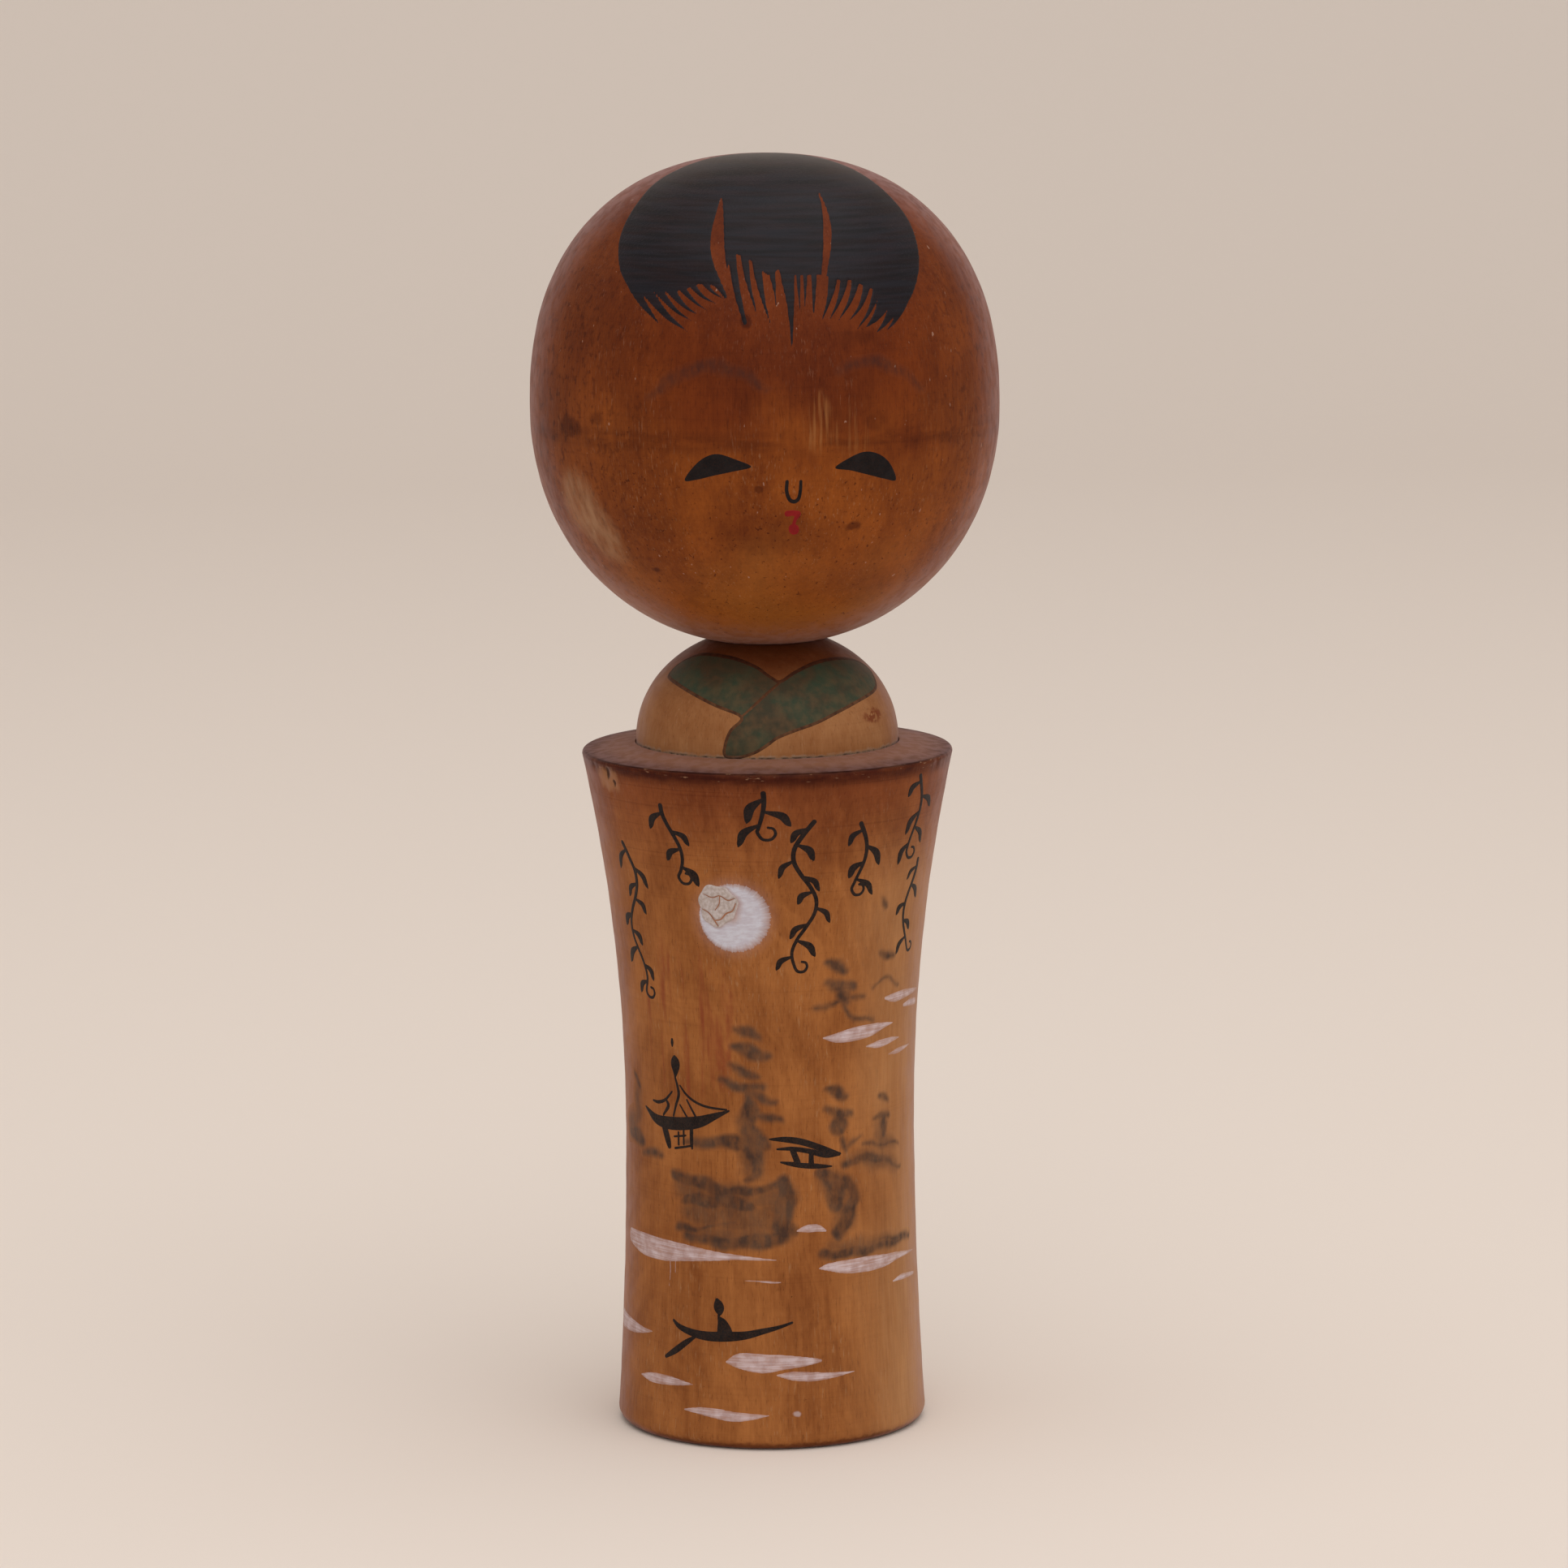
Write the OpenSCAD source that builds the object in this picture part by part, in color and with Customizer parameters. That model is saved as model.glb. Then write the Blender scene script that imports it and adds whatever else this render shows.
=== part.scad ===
// Kokeshi doll: a lathe-turned trunk, a shoulder dome plugged into it, and a round head
// that turns on a captive wooden peg. Millimetres, +Z up, origin at the centre of the foot.

/* [Trunk] */
// Radius of the foot, measured before its corner is rounded
foot_r = 29.3; // [24:0.1:36]
// Rounding of the foot's outer corner
foot_round = 2.4; // [0.5:0.1:4]
// Width of the flat ring that the trunk stands on
foot_land = 5.7; // [2:0.1:10]
// Depth of the hollow under the foot
hollow_depth = 0.8; // [0.2:0.1:2]
// Radius of the waist, the narrowest ring
waist_r = 27.3; // [22:0.1:32]
// Height of the waist above the ground
waist_z = 58.5; // [40:0.5:75]
// Radius of the rim at its widest ring
rim_r = 34.8; // [30:0.05:42]
// Height of the rim's widest ring above the ground
rim_z = 128; // [100:0.1:155]
// Rounding of the rim's edge
rim_round = 0.8; // [0.4:0.1:2.5]
// How far the shelf behind the rim climbs towards the dome
shelf_rise = 1.3; // [0.5:0.1:3]

/* [Shoulder dome] */
// Radius of the dome at its foot
dome_r = 24.6; // [19:0.1:29]
// Height of the dome's top flat above the shelf
dome_h = 19.3; // [12:0.1:26]
// Height of the dome's upright side above the shelf
dome_side_h = 0.6; // [0.3:0.1:4]
// Fullness of the dome's curve, 2 for an ellipse, more for a squarer shoulder
dome_fullness = 2.05; // [1.8:0.05:3]
// Depth of the recess in the shelf that the dome stands in
seat_depth = 1; // [0.5:0.1:3]
// Gap all round between the dome and the wall of its recess
seat_gap = 0.2; // [0.1:0.05:0.6]
// Wall of the tenon around the peg's collar
tenon_wall = 3; // [2:0.1:5]
// Length of the tenon below the dome
tenon_l = 20; // [14:0.5:30]

/* [Head] */
// Radius of the head at its widest ring
head_r = 43.8; // [34:0.1:54]
// Height of the head from its underside flat to its crown
head_h = 90.5; // [70:0.1:115]
// Height of the head's widest ring above its underside flat
head_widest_h = 44; // [34:0.1:56]
// Fullness of the head's curve above the widest ring
crown_fullness = 2.3; // [1.8:0.05:3]
// Fullness of the head's curve below the widest ring
jaw_fullness = 2.1; // [1.8:0.05:3]
// Width of the flat land around the peg that the head turns on, the same on head and dome
neck_land = 3.5; // [2:0.1:6]

/* [Neck peg] */
// Radius of the peg's shank
peg_r = 7; // [5:0.1:9]
// Length of the shank glued into the head
peg_in_head = 25; // [15:0.5:40]
// How far the collar that keeps the peg in the dome stands out from the shank
collar_lip = 1.6; // [0.8:0.1:2.5]
// Height of the collar
collar_h = 4; // [2:0.5:6]
// Chamfer at both ends of the peg
peg_chamfer = 0.8; // [0.3:0.1:1.5]

/* [Fits] */
// Radial running clearance of the shank in the dome
turn_clearance = 0.05; // [0.01:0.01:0.1]
// Radial clearance of the collar in its pocket
pocket_clearance = 0.4; // [0.2:0.05:0.6]
// Clearance under the head, and above the collar
lift_clearance = 0.1; // [0.05:0.05:0.3]
// Radial clearance of a glued joint
glue_clearance = 0.03; // [0.01:0.01:0.1]
// Room left below the tenon and the collar
bottom_clearance = 1.2; // [0.5:0.1:3]

/* [Hidden] */
$fn = 96;
curve_steps = 30;
corner_steps = 8;
overcut = 1;

trunk_colour = [0.60, 0.36, 0.19];
dome_colour = [0.66, 0.45, 0.28];
head_colour = [0.50, 0.26, 0.14];
peg_colour = [0.76, 0.62, 0.44];

// Radii of the neck joint, from the shank outwards
collar_r = peg_r + collar_lip;
pocket_r = collar_r + pocket_clearance;
tenon_r = pocket_r + tenon_wall;
neck_flat_r = peg_r + neck_land;

// Heights, from the ground up
shelf_z = rim_z + rim_round + shelf_rise;
seat_z = shelf_z - seat_depth;
dome_side_z = shelf_z + dome_side_h;
dome_top_z = shelf_z + dome_h;
head_z = dome_top_z + lift_clearance;
head_widest_z = head_z + head_widest_h;
tenon_z = seat_z - tenon_l;
peg_z = tenon_z;
collar_top_z = peg_z + collar_h;
peg_top_z = head_z + peg_in_head;

// The rim's edge is an arc between the leaning side of the trunk and the climbing shelf
rim_centre = [rim_r - rim_round, rim_z];
recess_r = dome_r + seat_gap;
side_lean = atan(2 * (rim_centre[0] - waist_r) / (rim_z - waist_z));
shelf_climb = atan(shelf_rise / (rim_centre[0] - recess_r));

// The highest point of the straight side, where the rim's arc starts
side_top = rim_centre + rim_round * [cos(side_lean), -sin(side_lean)];

// Points of an arc about a centre, from angle a0 to angle a1
function arc(centre, r, a0, a1) =
    [for (i = [0:corner_steps])
        let (a = a0 + (a1 - a0) * i / corner_steps)
        centre + r * [cos(a), sin(a)]];

// Radius of the trunk's side at height z: one parabola above the waist and one below it
function side_r(z) = z > waist_z
    ? waist_r + (side_top[0] - waist_r) * pow((z - waist_z) / (side_top[1] - waist_z), 2)
    : waist_r + (foot_r - waist_r) * pow((waist_z - z) / waist_z, 2);

// Half height of a superellipse of half width a that passes through the point (flat, rise)
function half_height(a, rise, n, flat) = rise / pow(1 - pow(flat / a, n), 1 / n);

// Points of that curve, from its widest ring at height 0 to the flat at height rise
function swell(a, rise, n, flat) =
    [for (i = [0:curve_steps])
        let (t = acos(pow(flat / a, n / 2)) * i / curve_steps)
        [a * pow(cos(t), 2 / n), half_height(a, rise, n, flat) * pow(sin(t), 2 / n)]];

// The same points read from the last to the first
function backwards(points) = [for (i = [len(points) - 1:-1:0]) points[i]];

module trunk() {
    foot_edge_r = side_r(foot_round) - foot_round;
    hollow_r = foot_edge_r - foot_land;
    outline = concat(
        [[0, hollow_depth], [hollow_r - hollow_depth, hollow_depth], [hollow_r, 0]],
        arc([foot_edge_r, foot_round], foot_round, -90, 0),
        [for (i = [1:curve_steps])
            let (z = foot_round + (side_top[1] - foot_round) * i / curve_steps)
            [side_r(z), z]],
        arc(rim_centre, rim_round, -side_lean, 90 - shelf_climb),
        [[recess_r, shelf_z], [recess_r, seat_z], [0, seat_z]]
    );
    color(trunk_colour)
    difference() {
        rotate_extrude() polygon(outline);
        // Mortise for the dome's tenon
        translate([0, 0, tenon_z - bottom_clearance])
            cylinder(r = tenon_r + glue_clearance, h = tenon_l + bottom_clearance + overcut);
    }
}

module shoulder_dome() {
    outline = concat(
        [[0, tenon_z], [tenon_r, tenon_z], [tenon_r, seat_z], [dome_r, seat_z]],
        [for (p = swell(dome_r, dome_top_z - dome_side_z, dome_fullness, neck_flat_r))
            p + [0, dome_side_z]],
        [[0, dome_top_z]]
    );
    color(dome_colour)
    difference() {
        rotate_extrude() polygon(outline);
        // Bearing for the peg's shank
        translate([0, 0, tenon_z - overcut])
            cylinder(r = peg_r + turn_clearance, h = dome_top_z - tenon_z + 2 * overcut);
        // Pocket for the peg's collar
        translate([0, 0, tenon_z - overcut])
            cylinder(r = pocket_r, h = collar_h + lift_clearance + overcut);
    }
}

module head() {
    jaw = swell(head_r, head_widest_h, jaw_fullness, neck_flat_r);
    crown = swell(head_r, head_h - head_widest_h, crown_fullness, 0);
    outline = concat(
        [[0, head_z]],
        [for (p = backwards(jaw)) [p[0], head_widest_z - p[1]]],
        [for (i = [1:curve_steps]) crown[i] + [0, head_widest_z]]
    );
    color(head_colour)
    difference() {
        rotate_extrude() polygon(outline);
        // Blind hole for the peg's shank
        translate([0, 0, head_z - overcut])
            cylinder(r = peg_r + glue_clearance, h = peg_in_head + overcut);
    }
}

module neck_peg() {
    outline = [
        [0, peg_z],
        [collar_r - peg_chamfer, peg_z],
        [collar_r, peg_z + peg_chamfer],
        [collar_r, collar_top_z],
        [peg_r, collar_top_z],
        [peg_r, peg_top_z - peg_chamfer],
        [peg_r - peg_chamfer, peg_top_z],
        [0, peg_top_z]
    ];
    color(peg_colour)
    rotate_extrude() polygon(outline);
}

trunk();
shoulder_dome();
head();
neck_peg();
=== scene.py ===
# %% [markdown]
# # A turned kokeshi doll
# A kokeshi is three visible pieces of lathe-turned wood: a flared trunk, a small shoulder dome
# plugged into it, and a big round head that turns on a hidden peg. Everything else is paint.
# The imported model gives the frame: where each piece is, and which body it moves with. This
# lesson swaps its plain solids for finely turned surfaces and then paints them.

# %% Load the frame
import math

import bpy
import numpy as np
from mathutils import Matrix, Vector


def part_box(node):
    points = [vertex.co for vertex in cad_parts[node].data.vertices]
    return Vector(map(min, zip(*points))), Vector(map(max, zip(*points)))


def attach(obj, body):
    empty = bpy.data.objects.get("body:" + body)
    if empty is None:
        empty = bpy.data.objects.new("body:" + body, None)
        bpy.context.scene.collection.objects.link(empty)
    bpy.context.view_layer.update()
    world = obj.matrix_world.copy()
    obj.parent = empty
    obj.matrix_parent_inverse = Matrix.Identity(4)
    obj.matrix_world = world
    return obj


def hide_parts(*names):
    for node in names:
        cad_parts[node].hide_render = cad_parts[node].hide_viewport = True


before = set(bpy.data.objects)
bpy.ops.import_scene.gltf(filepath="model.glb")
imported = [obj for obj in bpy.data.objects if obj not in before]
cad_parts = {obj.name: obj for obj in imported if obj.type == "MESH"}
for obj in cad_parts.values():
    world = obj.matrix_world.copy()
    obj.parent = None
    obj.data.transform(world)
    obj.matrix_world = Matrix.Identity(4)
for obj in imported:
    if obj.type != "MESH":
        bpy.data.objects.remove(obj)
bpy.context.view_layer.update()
MM = 0.001  # shapes are thought out in millimetres and stored in metres
trunk_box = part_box("trunk")
dome_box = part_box("shoulder_dome")
head_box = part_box("head")
peg_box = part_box("neck_peg")

# %% [markdown]
# ## Camera and studio
# The doll was seen from a little above through a long lens, which keeps its sides almost
# parallel. A camera is easiest to place like a tripod: how far, how high, which way round.
# The painted face looks along -Y, and the tripod stands a few degrees to its right-hand side.
# The plinth leaned by less than half a degree, so the camera rolls by as much.

# %% The camera
CAMERA_DISTANCE = 1265 * MM
CAMERA_HEIGHT = 319 * MM
CAMERA_AZIMUTH = math.radians(-7.5)
CAMERA_PITCH = math.radians(8.87)
CAMERA_ROLL = math.radians(0.4)
CAMERA_SIDESTEP = 3.1 * MM  # the doll stands slightly left of the middle of the view
LENS = 156.2  # millimetres, on a 36 mm wide sensor


def make_camera():
    """Aims a long lens at the doll's axis, tilted down by the pitch, and rolls it a little."""
    camera = bpy.data.objects.new("camera", bpy.data.cameras.new("camera"))
    bpy.context.scene.collection.objects.link(camera)
    ahead = Vector((-math.sin(CAMERA_AZIMUTH), math.cos(CAMERA_AZIMUTH), 0))
    right = Vector((ahead.y, -ahead.x, 0))
    camera.location = -ahead * CAMERA_DISTANCE + Vector((0, 0, CAMERA_HEIGHT))
    drop = CAMERA_DISTANCE * math.tan(CAMERA_PITCH)
    target = Vector((0, 0, CAMERA_HEIGHT - drop)) + right * CAMERA_SIDESTEP
    aim = (target - camera.location).to_track_quat("-Z", "Y").to_matrix()
    camera.matrix_world = Matrix.Translation(camera.location) @ (
        aim @ Matrix.Rotation(-CAMERA_ROLL, 3, "Z")
    ).to_4x4()
    camera.data.lens = LENS
    camera.data.clip_start = 0.05
    camera.data.clip_end = 100
    bpy.context.scene.camera = camera
    return camera


camera = make_camera()
print("the camera stands", round(CAMERA_DISTANCE, 3), "m away")

# %% [markdown]
# The studio is a pale paper sweep: a flat floor that curves up into a wall, so no horizon
# shows. Soft light comes from one wide lamp overhead, a weaker one in front, and the pale
# world all around, which also gives the varnish something to reflect at its edges.
# A standard view transform keeps a given colour the same on the screen.

# %% Floor and light
FLOOR_COLOUR = (0.80, 0.717, 0.655, 1)
WORLD_COLOUR = (1.0, 0.955, 0.91, 1)
WORLD_STRENGTH = 0.60
SWEEP_FRONT, SWEEP_BACK, SWEEP_RADIUS, SWEEP_TOP = -4.0, 1.6, 1.2, 3.5
SWEEP_HALF_WIDTH = 5.0


def make_sweep():
    """Carries one profile sideways: flat floor, quarter circle, wall."""
    turn = np.linspace(0, math.pi / 2, 25)
    y = np.r_[SWEEP_FRONT, SWEEP_BACK + SWEEP_RADIUS * np.sin(turn), SWEEP_BACK + SWEEP_RADIUS]
    z = np.r_[0, SWEEP_RADIUS * (1 - np.cos(turn)), SWEEP_TOP]
    x = np.array([-SWEEP_HALF_WIDTH, SWEEP_HALF_WIDTH])
    points = np.stack([np.repeat(x, len(y)), np.tile(y, 2), np.tile(z, 2)], 1)
    near = np.arange(len(y) - 1)
    faces = np.stack([near, near + len(y), near + len(y) + 1, near + 1], 1)
    mesh = bpy.data.meshes.new("paper_sweep")
    mesh.from_pydata(points.tolist(), [], faces.tolist())
    mesh.shade_smooth()
    sweep = bpy.data.objects.new("paper_sweep", mesh)
    bpy.context.scene.collection.objects.link(sweep)
    paper = bpy.data.materials.new("pale_paper")
    paper.use_nodes = True
    shader = paper.node_tree.nodes["Principled BSDF"]
    shader.inputs["Base Color"].default_value = FLOOR_COLOUR
    shader.inputs["Roughness"].default_value = 0.85
    mesh.materials.append(paper)
    return sweep


def make_lamp(name, place, size, watts, colour=(1, 0.98, 0.95)):
    """A square area lamp at a place, turned to face the middle of the doll."""
    lamp = bpy.data.objects.new(name, bpy.data.lights.new(name, "AREA"))
    bpy.context.scene.collection.objects.link(lamp)
    lamp.data.shape = "SQUARE"
    lamp.data.size = size
    lamp.data.energy = watts
    lamp.data.color = colour
    lamp.location = place
    aim = Vector((0, 0, 0.12)) - lamp.location
    lamp.rotation_euler = aim.to_track_quat("-Z", "Y").to_euler()
    return lamp


make_sweep()
make_lamp("overhead_lamp", (0.15, -0.45, 1.9), 2.4, 20)
make_lamp("front_lamp", (0.25, -1.9, 1.4), 2.4, 8.5)
world = bpy.data.worlds.new("pale_room")
bpy.context.scene.world = world
world.use_nodes = True
world.node_tree.nodes["Background"].inputs["Color"].default_value = WORLD_COLOUR
world.node_tree.nodes["Background"].inputs["Strength"].default_value = WORLD_STRENGTH
bpy.context.scene.view_settings.view_transform = "Standard"
print("studio ready")

# %% [markdown]
# ## The turned outlines
# A turner thinks in half outlines: how far the wood stands from the axis at each height. The
# trunk is two parabolas that meet at the waist. Dome and head are superellipses, rounder than
# an ellipse, cut off flat where they meet. Their driving sizes come from the frame.
# A real gouge leaves a slight waviness, a few hundredths of a millimetre deep; it is part of the
# formula, so that wood and paint share it.

# %% Outline formulas
TRUNK_TOP = trunk_box[1].z / MM
DOME_TOP = dome_box[1].z / MM
DOME_R = dome_box[1].x / MM
HEAD_LOW, HEAD_TOP = head_box[0].z / MM, head_box[1].z / MM
HEAD_R = head_box[1].x / MM
FOOT_R, FOOT_ROUND, FOOT_LAND, HOLLOW_DEPTH = 29.3, 2.4, 5.7, 0.8
WAIST_R, WAIST_Z = 27.3, 58.5
RIM_R, RIM_ROUND, SHELF_RISE = trunk_box[1].x / MM, 0.8, 1.3
RIM_Z = TRUNK_TOP - RIM_ROUND - SHELF_RISE
RIM_CENTRE_R = RIM_R - RIM_ROUND
SEAT_GAP, SEAT_DEPTH = 0.2, 1.0
MORTISE_PLAY, MORTISE_SPARE = 0.03, 1.2
BORE_PLAY, POCKET_PLAY, COLLAR_PLAY, HOLE_PLAY = 0.05, 0.4, 0.1, 0.03
DOME_SIDE_Z = TRUNK_TOP + 0.6
NECK_FLAT_R = 10.5
HEAD_WIDEST_Z = HEAD_LOW + 44
DOME_FULL, CROWN_FULL, JAW_FULL = 2.05, 2.3, 2.1
SIDE_LEAN = math.atan(2 * (RIM_CENTRE_R - WAIST_R) / (RIM_Z - WAIST_Z))
SIDE_TOP_R = RIM_CENTRE_R + RIM_ROUND * math.cos(SIDE_LEAN)
SIDE_TOP_Z = RIM_Z - RIM_ROUND * math.sin(SIDE_LEAN)
SHELF_EDGE_Z = RIM_Z + 0.8 * RIM_ROUND


def gouge(z, seed):
    """The tool's waviness: three unrelated sine waves along the height, summed."""
    return 0.018 * np.sin(z / 1.9 + seed) + 0.014 * np.sin(z / 3.7 + 2 * seed) + 0.01 * np.sin(z / 0.83)


def trunk_side(z):
    """Radius of the trunk: the waist's, plus a square law up to the rim and down to the foot."""
    up = (SIDE_TOP_R - WAIST_R) * ((z - WAIST_Z) / (SIDE_TOP_Z - WAIST_Z)) ** 2
    down = (FOOT_R - WAIST_R) * ((WAIST_Z - z) / WAIST_Z) ** 2
    return WAIST_R + np.where(z > WAIST_Z, up, down) + gouge(z, 1.0)


def half_height(a, rise, full, flat):
    """Half height of a superellipse of half width a that passes through (flat, rise)."""
    return rise / (1 - (flat / a) ** full) ** (1 / full)


def bulge(z, a, rise, full, flat):
    """Radius of that superellipse at height z above its widest ring."""
    share = np.clip(z / half_height(a, rise, full, flat), 0, 1)
    return a * (1 - share**full) ** (1 / full)


def dome_side(z):
    """Radius of the shoulder dome: upright at first, then a superellipse to the neck flat."""
    up = z - DOME_SIDE_Z
    return bulge(up, DOME_R, DOME_TOP - DOME_SIDE_Z, DOME_FULL, NECK_FLAT_R) + gouge(z, 2.0)


def head_side(z):
    """Radius of the head: one superellipse above the widest ring and one below it."""
    up = z - HEAD_WIDEST_Z
    crown = bulge(up, HEAD_R, HEAD_TOP - HEAD_WIDEST_Z, CROWN_FULL, 0)
    jaw = bulge(-up, HEAD_R, HEAD_WIDEST_Z - HEAD_LOW, JAW_FULL, NECK_FLAT_R)
    fade = np.clip((HEAD_TOP - z) / 8, 0, 1)
    return np.where(up > 0, crown, jaw) + gouge(z, 3.0) * fade


for name, side, z in (("foot", trunk_side, 0), ("waist", trunk_side, WAIST_Z),
                      ("dome", dome_side, 135), ("head", head_side, HEAD_WIDEST_Z)):
    print(name, "radius", round(float(side(np.float64(z))), 2), "mm")

# %% [markdown]
# Turning an outline into a mesh is what a lathe does: every outline point is carried round the
# axis. Points on the axis become one single vertex, so the pole is closed. Going up the
# outside of the outline with the turn running anticlockwise makes all faces look outwards.

# %% The lathe
BODY_AND_SLOT = {
    "trunk": ("torso", "trunk_wood"), "dome": ("torso", "dome_wood"),
    "head": ("head_unit", "head_wood"), "peg": ("head_unit", "peg_wood"),
}
SHARP_FROM = math.radians(38)


def make_object(name, points, faces, wood):
    """A mesh object from points in millimetres, riding on the body that its wood belongs to."""
    mesh = bpy.data.meshes.new(name)
    mesh.from_pydata((np.asarray(points) * MM).tolist(), [], faces)
    mesh.shade_smooth()
    thing = bpy.data.objects.new(name, mesh)
    bpy.context.scene.collection.objects.link(thing)
    body, slot = BODY_AND_SLOT[wood]
    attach(thing, body)
    return thing


def make_turned(name, points, faces, wood, node):
    """A turned piece: its edges of more than 38 degrees stay crisp, and it replaces a node."""
    thing = make_object(name, points, faces, wood)
    thing.data.validate()
    thing.data.set_sharp_from_angle(angle=SHARP_FROM)
    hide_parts(node)
    print(name, "has", len(thing.data.polygons), "faces")
    return thing


def carry_round(outline, sectors):
    """Rings of points from (radius, height) rows: x = r sin a, y = -r cos a; also each sector's ends."""
    outline = np.asarray(outline, float)
    angle = np.arange(sectors) * (2 * math.pi / sectors)
    r, z = outline[:, :1], outline[:, 1:]
    ring = np.stack([r * np.sin(angle), -r * np.cos(angle), z + 0 * angle], 2).reshape(-1, 3)
    here = np.arange(sectors)
    return ring, here, (here + 1) % sectors


def turn(outline, sectors):
    """A closed solid of an outline that starts and ends on the axis, where the fans of faces meet."""
    outline = np.asarray(outline, float)
    ring, here, there = carry_round(outline[1:-1], sectors)
    start, end = [0, 0, outline[0, 1]], [0, 0, outline[-1, 1]]
    points = np.vstack([[start], ring, [end]])
    rows = len(outline) - 2
    low = 1 + sectors * np.arange(rows - 1)[:, None]
    walls = np.stack([low + here, low + there, low + sectors + there, low + sectors + here], 2)
    last = 1 + sectors * (rows - 1)
    bottom = np.stack([0 * here, 1 + there, 1 + here], 1)
    top = np.stack([last + here, last + there, 0 * here + len(points) - 1], 1)
    return points, walls.reshape(-1, 4).tolist() + bottom.tolist() + top.tolist()


def arc(centre, radius, start, end, steps=10):
    """Points of a circle's arc between two angles in degrees, as (radius, height) rows."""
    a = np.radians(np.linspace(start, end, steps + 1))
    return np.stack([centre[0] + radius * np.cos(a), centre[1] + radius * np.sin(a)], 1)


def rows(side, low, high, step):
    """Rows (radius, height) along a side formula, one every step."""
    z = np.linspace(low, high, int(round((high - low) / step)) + 1)
    return np.stack([side(z), z], 1)


test_points, test_faces = turn([[0, 0], [1, 0], [1, 1], [0, 1]], 12)
print("a test cylinder of 12 sectors has", len(test_points), "points and", len(test_faces), "faces")

# %% [markdown]
# ### Trunk
# The outline starts in the hollow under the foot, rounds the foot's corner, climbs the
# side, rolls over the rim, crosses the sloping shelf and drops into the dome's recess and
# the mortise below it. The wood then gets its accidents by pushing single points: a knot with
# small pits in the rim, nicks along the edge, and the five marks that the lathe's claw left
# under the foot. Bumps in a material would vanish at the silhouette; moved points stay.

# %% Trunk mesh
SECTORS, DOME_SECTORS, PEG_SECTORS = 300, 216, 96
RECESS_R = DOME_R + SEAT_GAP
SEAT_Z = TRUNK_TOP - SEAT_DEPTH
TENON_Z = dome_box[0].z / MM
TENON_R = 12.0
FOOT_EDGE_R = float(trunk_side(np.float64(FOOT_ROUND))) - FOOT_ROUND


def trunk_outline():
    """Half outline of the trunk, from the centre of the hollow to the floor of the mortise."""
    climb = math.degrees(math.atan(SHELF_RISE / (RIM_CENTRE_R - RECESS_R)))
    hollow_r = FOOT_EDGE_R - FOOT_LAND
    shelf_r = np.linspace(RIM_CENTRE_R - 0.3, RECESS_R + 0.15, 22)
    shelf_z = np.interp(shelf_r, [RECESS_R, RIM_CENTRE_R], [TRUNK_TOP, TRUNK_TOP - SHELF_RISE])
    mortise_z = TENON_Z - MORTISE_SPARE
    return np.vstack([
        [[0, HOLLOW_DEPTH]],
        np.stack([np.linspace(1, hollow_r - HOLLOW_DEPTH, 18), np.full(18, HOLLOW_DEPTH)], 1),
        [[hollow_r - 0.1, 0.06], [hollow_r + 0.1, 0]],
        np.stack([np.linspace(hollow_r + 1, FOOT_EDGE_R - 0.5, 6), np.zeros(6)], 1),
        arc((FOOT_EDGE_R, FOOT_ROUND), FOOT_ROUND, -90, 0, 9),
        rows(trunk_side, FOOT_ROUND, SIDE_TOP_Z, 0.75)[1:],
        arc((RIM_CENTRE_R, RIM_Z), RIM_ROUND, -math.degrees(SIDE_LEAN), 90 - climb, 9)[1:],
        np.stack([shelf_r, shelf_z], 1),
        [[RECESS_R + 0.04, TRUNK_TOP - 0.02], [RECESS_R, TRUNK_TOP - 0.1], [RECESS_R, SEAT_Z]],
        [[TENON_R + MORTISE_PLAY, SEAT_Z], [TENON_R + MORTISE_PLAY, mortise_z], [0, mortise_z]],
    ])


def push(points, centre, radius, depth):
    """Dents the wood: a bell of the given depth, towards the axis or up, around one point."""
    away = np.linalg.norm(points - centre, axis=1) / radius
    bell = depth * np.exp(-2.5 * away**2)
    inwards = -points * [1, 1, 0]
    inwards /= np.maximum(np.linalg.norm(inwards, axis=1, keepdims=True), 1e-9)
    under = points[:, 2:] < 1.0
    direction = np.where(under, [0, 0, 1.0], inwards)
    return points + direction * bell[:, None]


def at(degrees, r, z):
    """The point at an angle from the front, a radius and a height."""
    a = math.radians(degrees)
    return np.array([r * math.sin(a), -r * math.cos(a), z])


RIM_DENTS = [  # degrees from the front, height, radius, depth
    (-67, 126.8, 1.3, 0.5), (-64, 124.9, 0.9, 0.35), (-70, 124.5, 0.8, 0.3), (-66, 122.8, 0.7, 0.3),
    (-76, 127.3, 1.0, 0.3), (-40, 128.1, 0.8, 0.2), (-12, 128.4, 0.7, 0.2), (9, 128.2, 0.9, 0.22),
    (31, 128.4, 0.8, 0.2), (58, 127.9, 1.1, 0.25), (122, 128.0, 1.4, 0.3), (171, 128.1, 1.0, 0.25),
]
CLAWS = 5


def make_trunk():
    """Turns the trunk, dents its rim and prints the lathe's claws and centre under the foot."""
    points, faces = turn(trunk_outline(), SECTORS)
    for degrees, z, radius, depth in RIM_DENTS:
        points = push(points, at(degrees, trunk_side(np.float64(z)), z), radius, depth)
    for claw in range(CLAWS):
        points = push(points, at(20 + 360 / CLAWS * claw, 9, HOLLOW_DEPTH), 2.2, 0.55)
    points = push(points, at(0, 0, HOLLOW_DEPTH), 2.6, 0.7)
    return make_turned("turned_trunk", points, faces, "trunk", "trunk")


trunk = make_trunk()

# %% [markdown]
# ### Shoulder dome, head and peg
# The dome carries the bearing for the peg, with a wider pocket for the peg's collar. The head
# has a blind hole. Nobody sees these, but a piece taken apart should still be whole.

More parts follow.
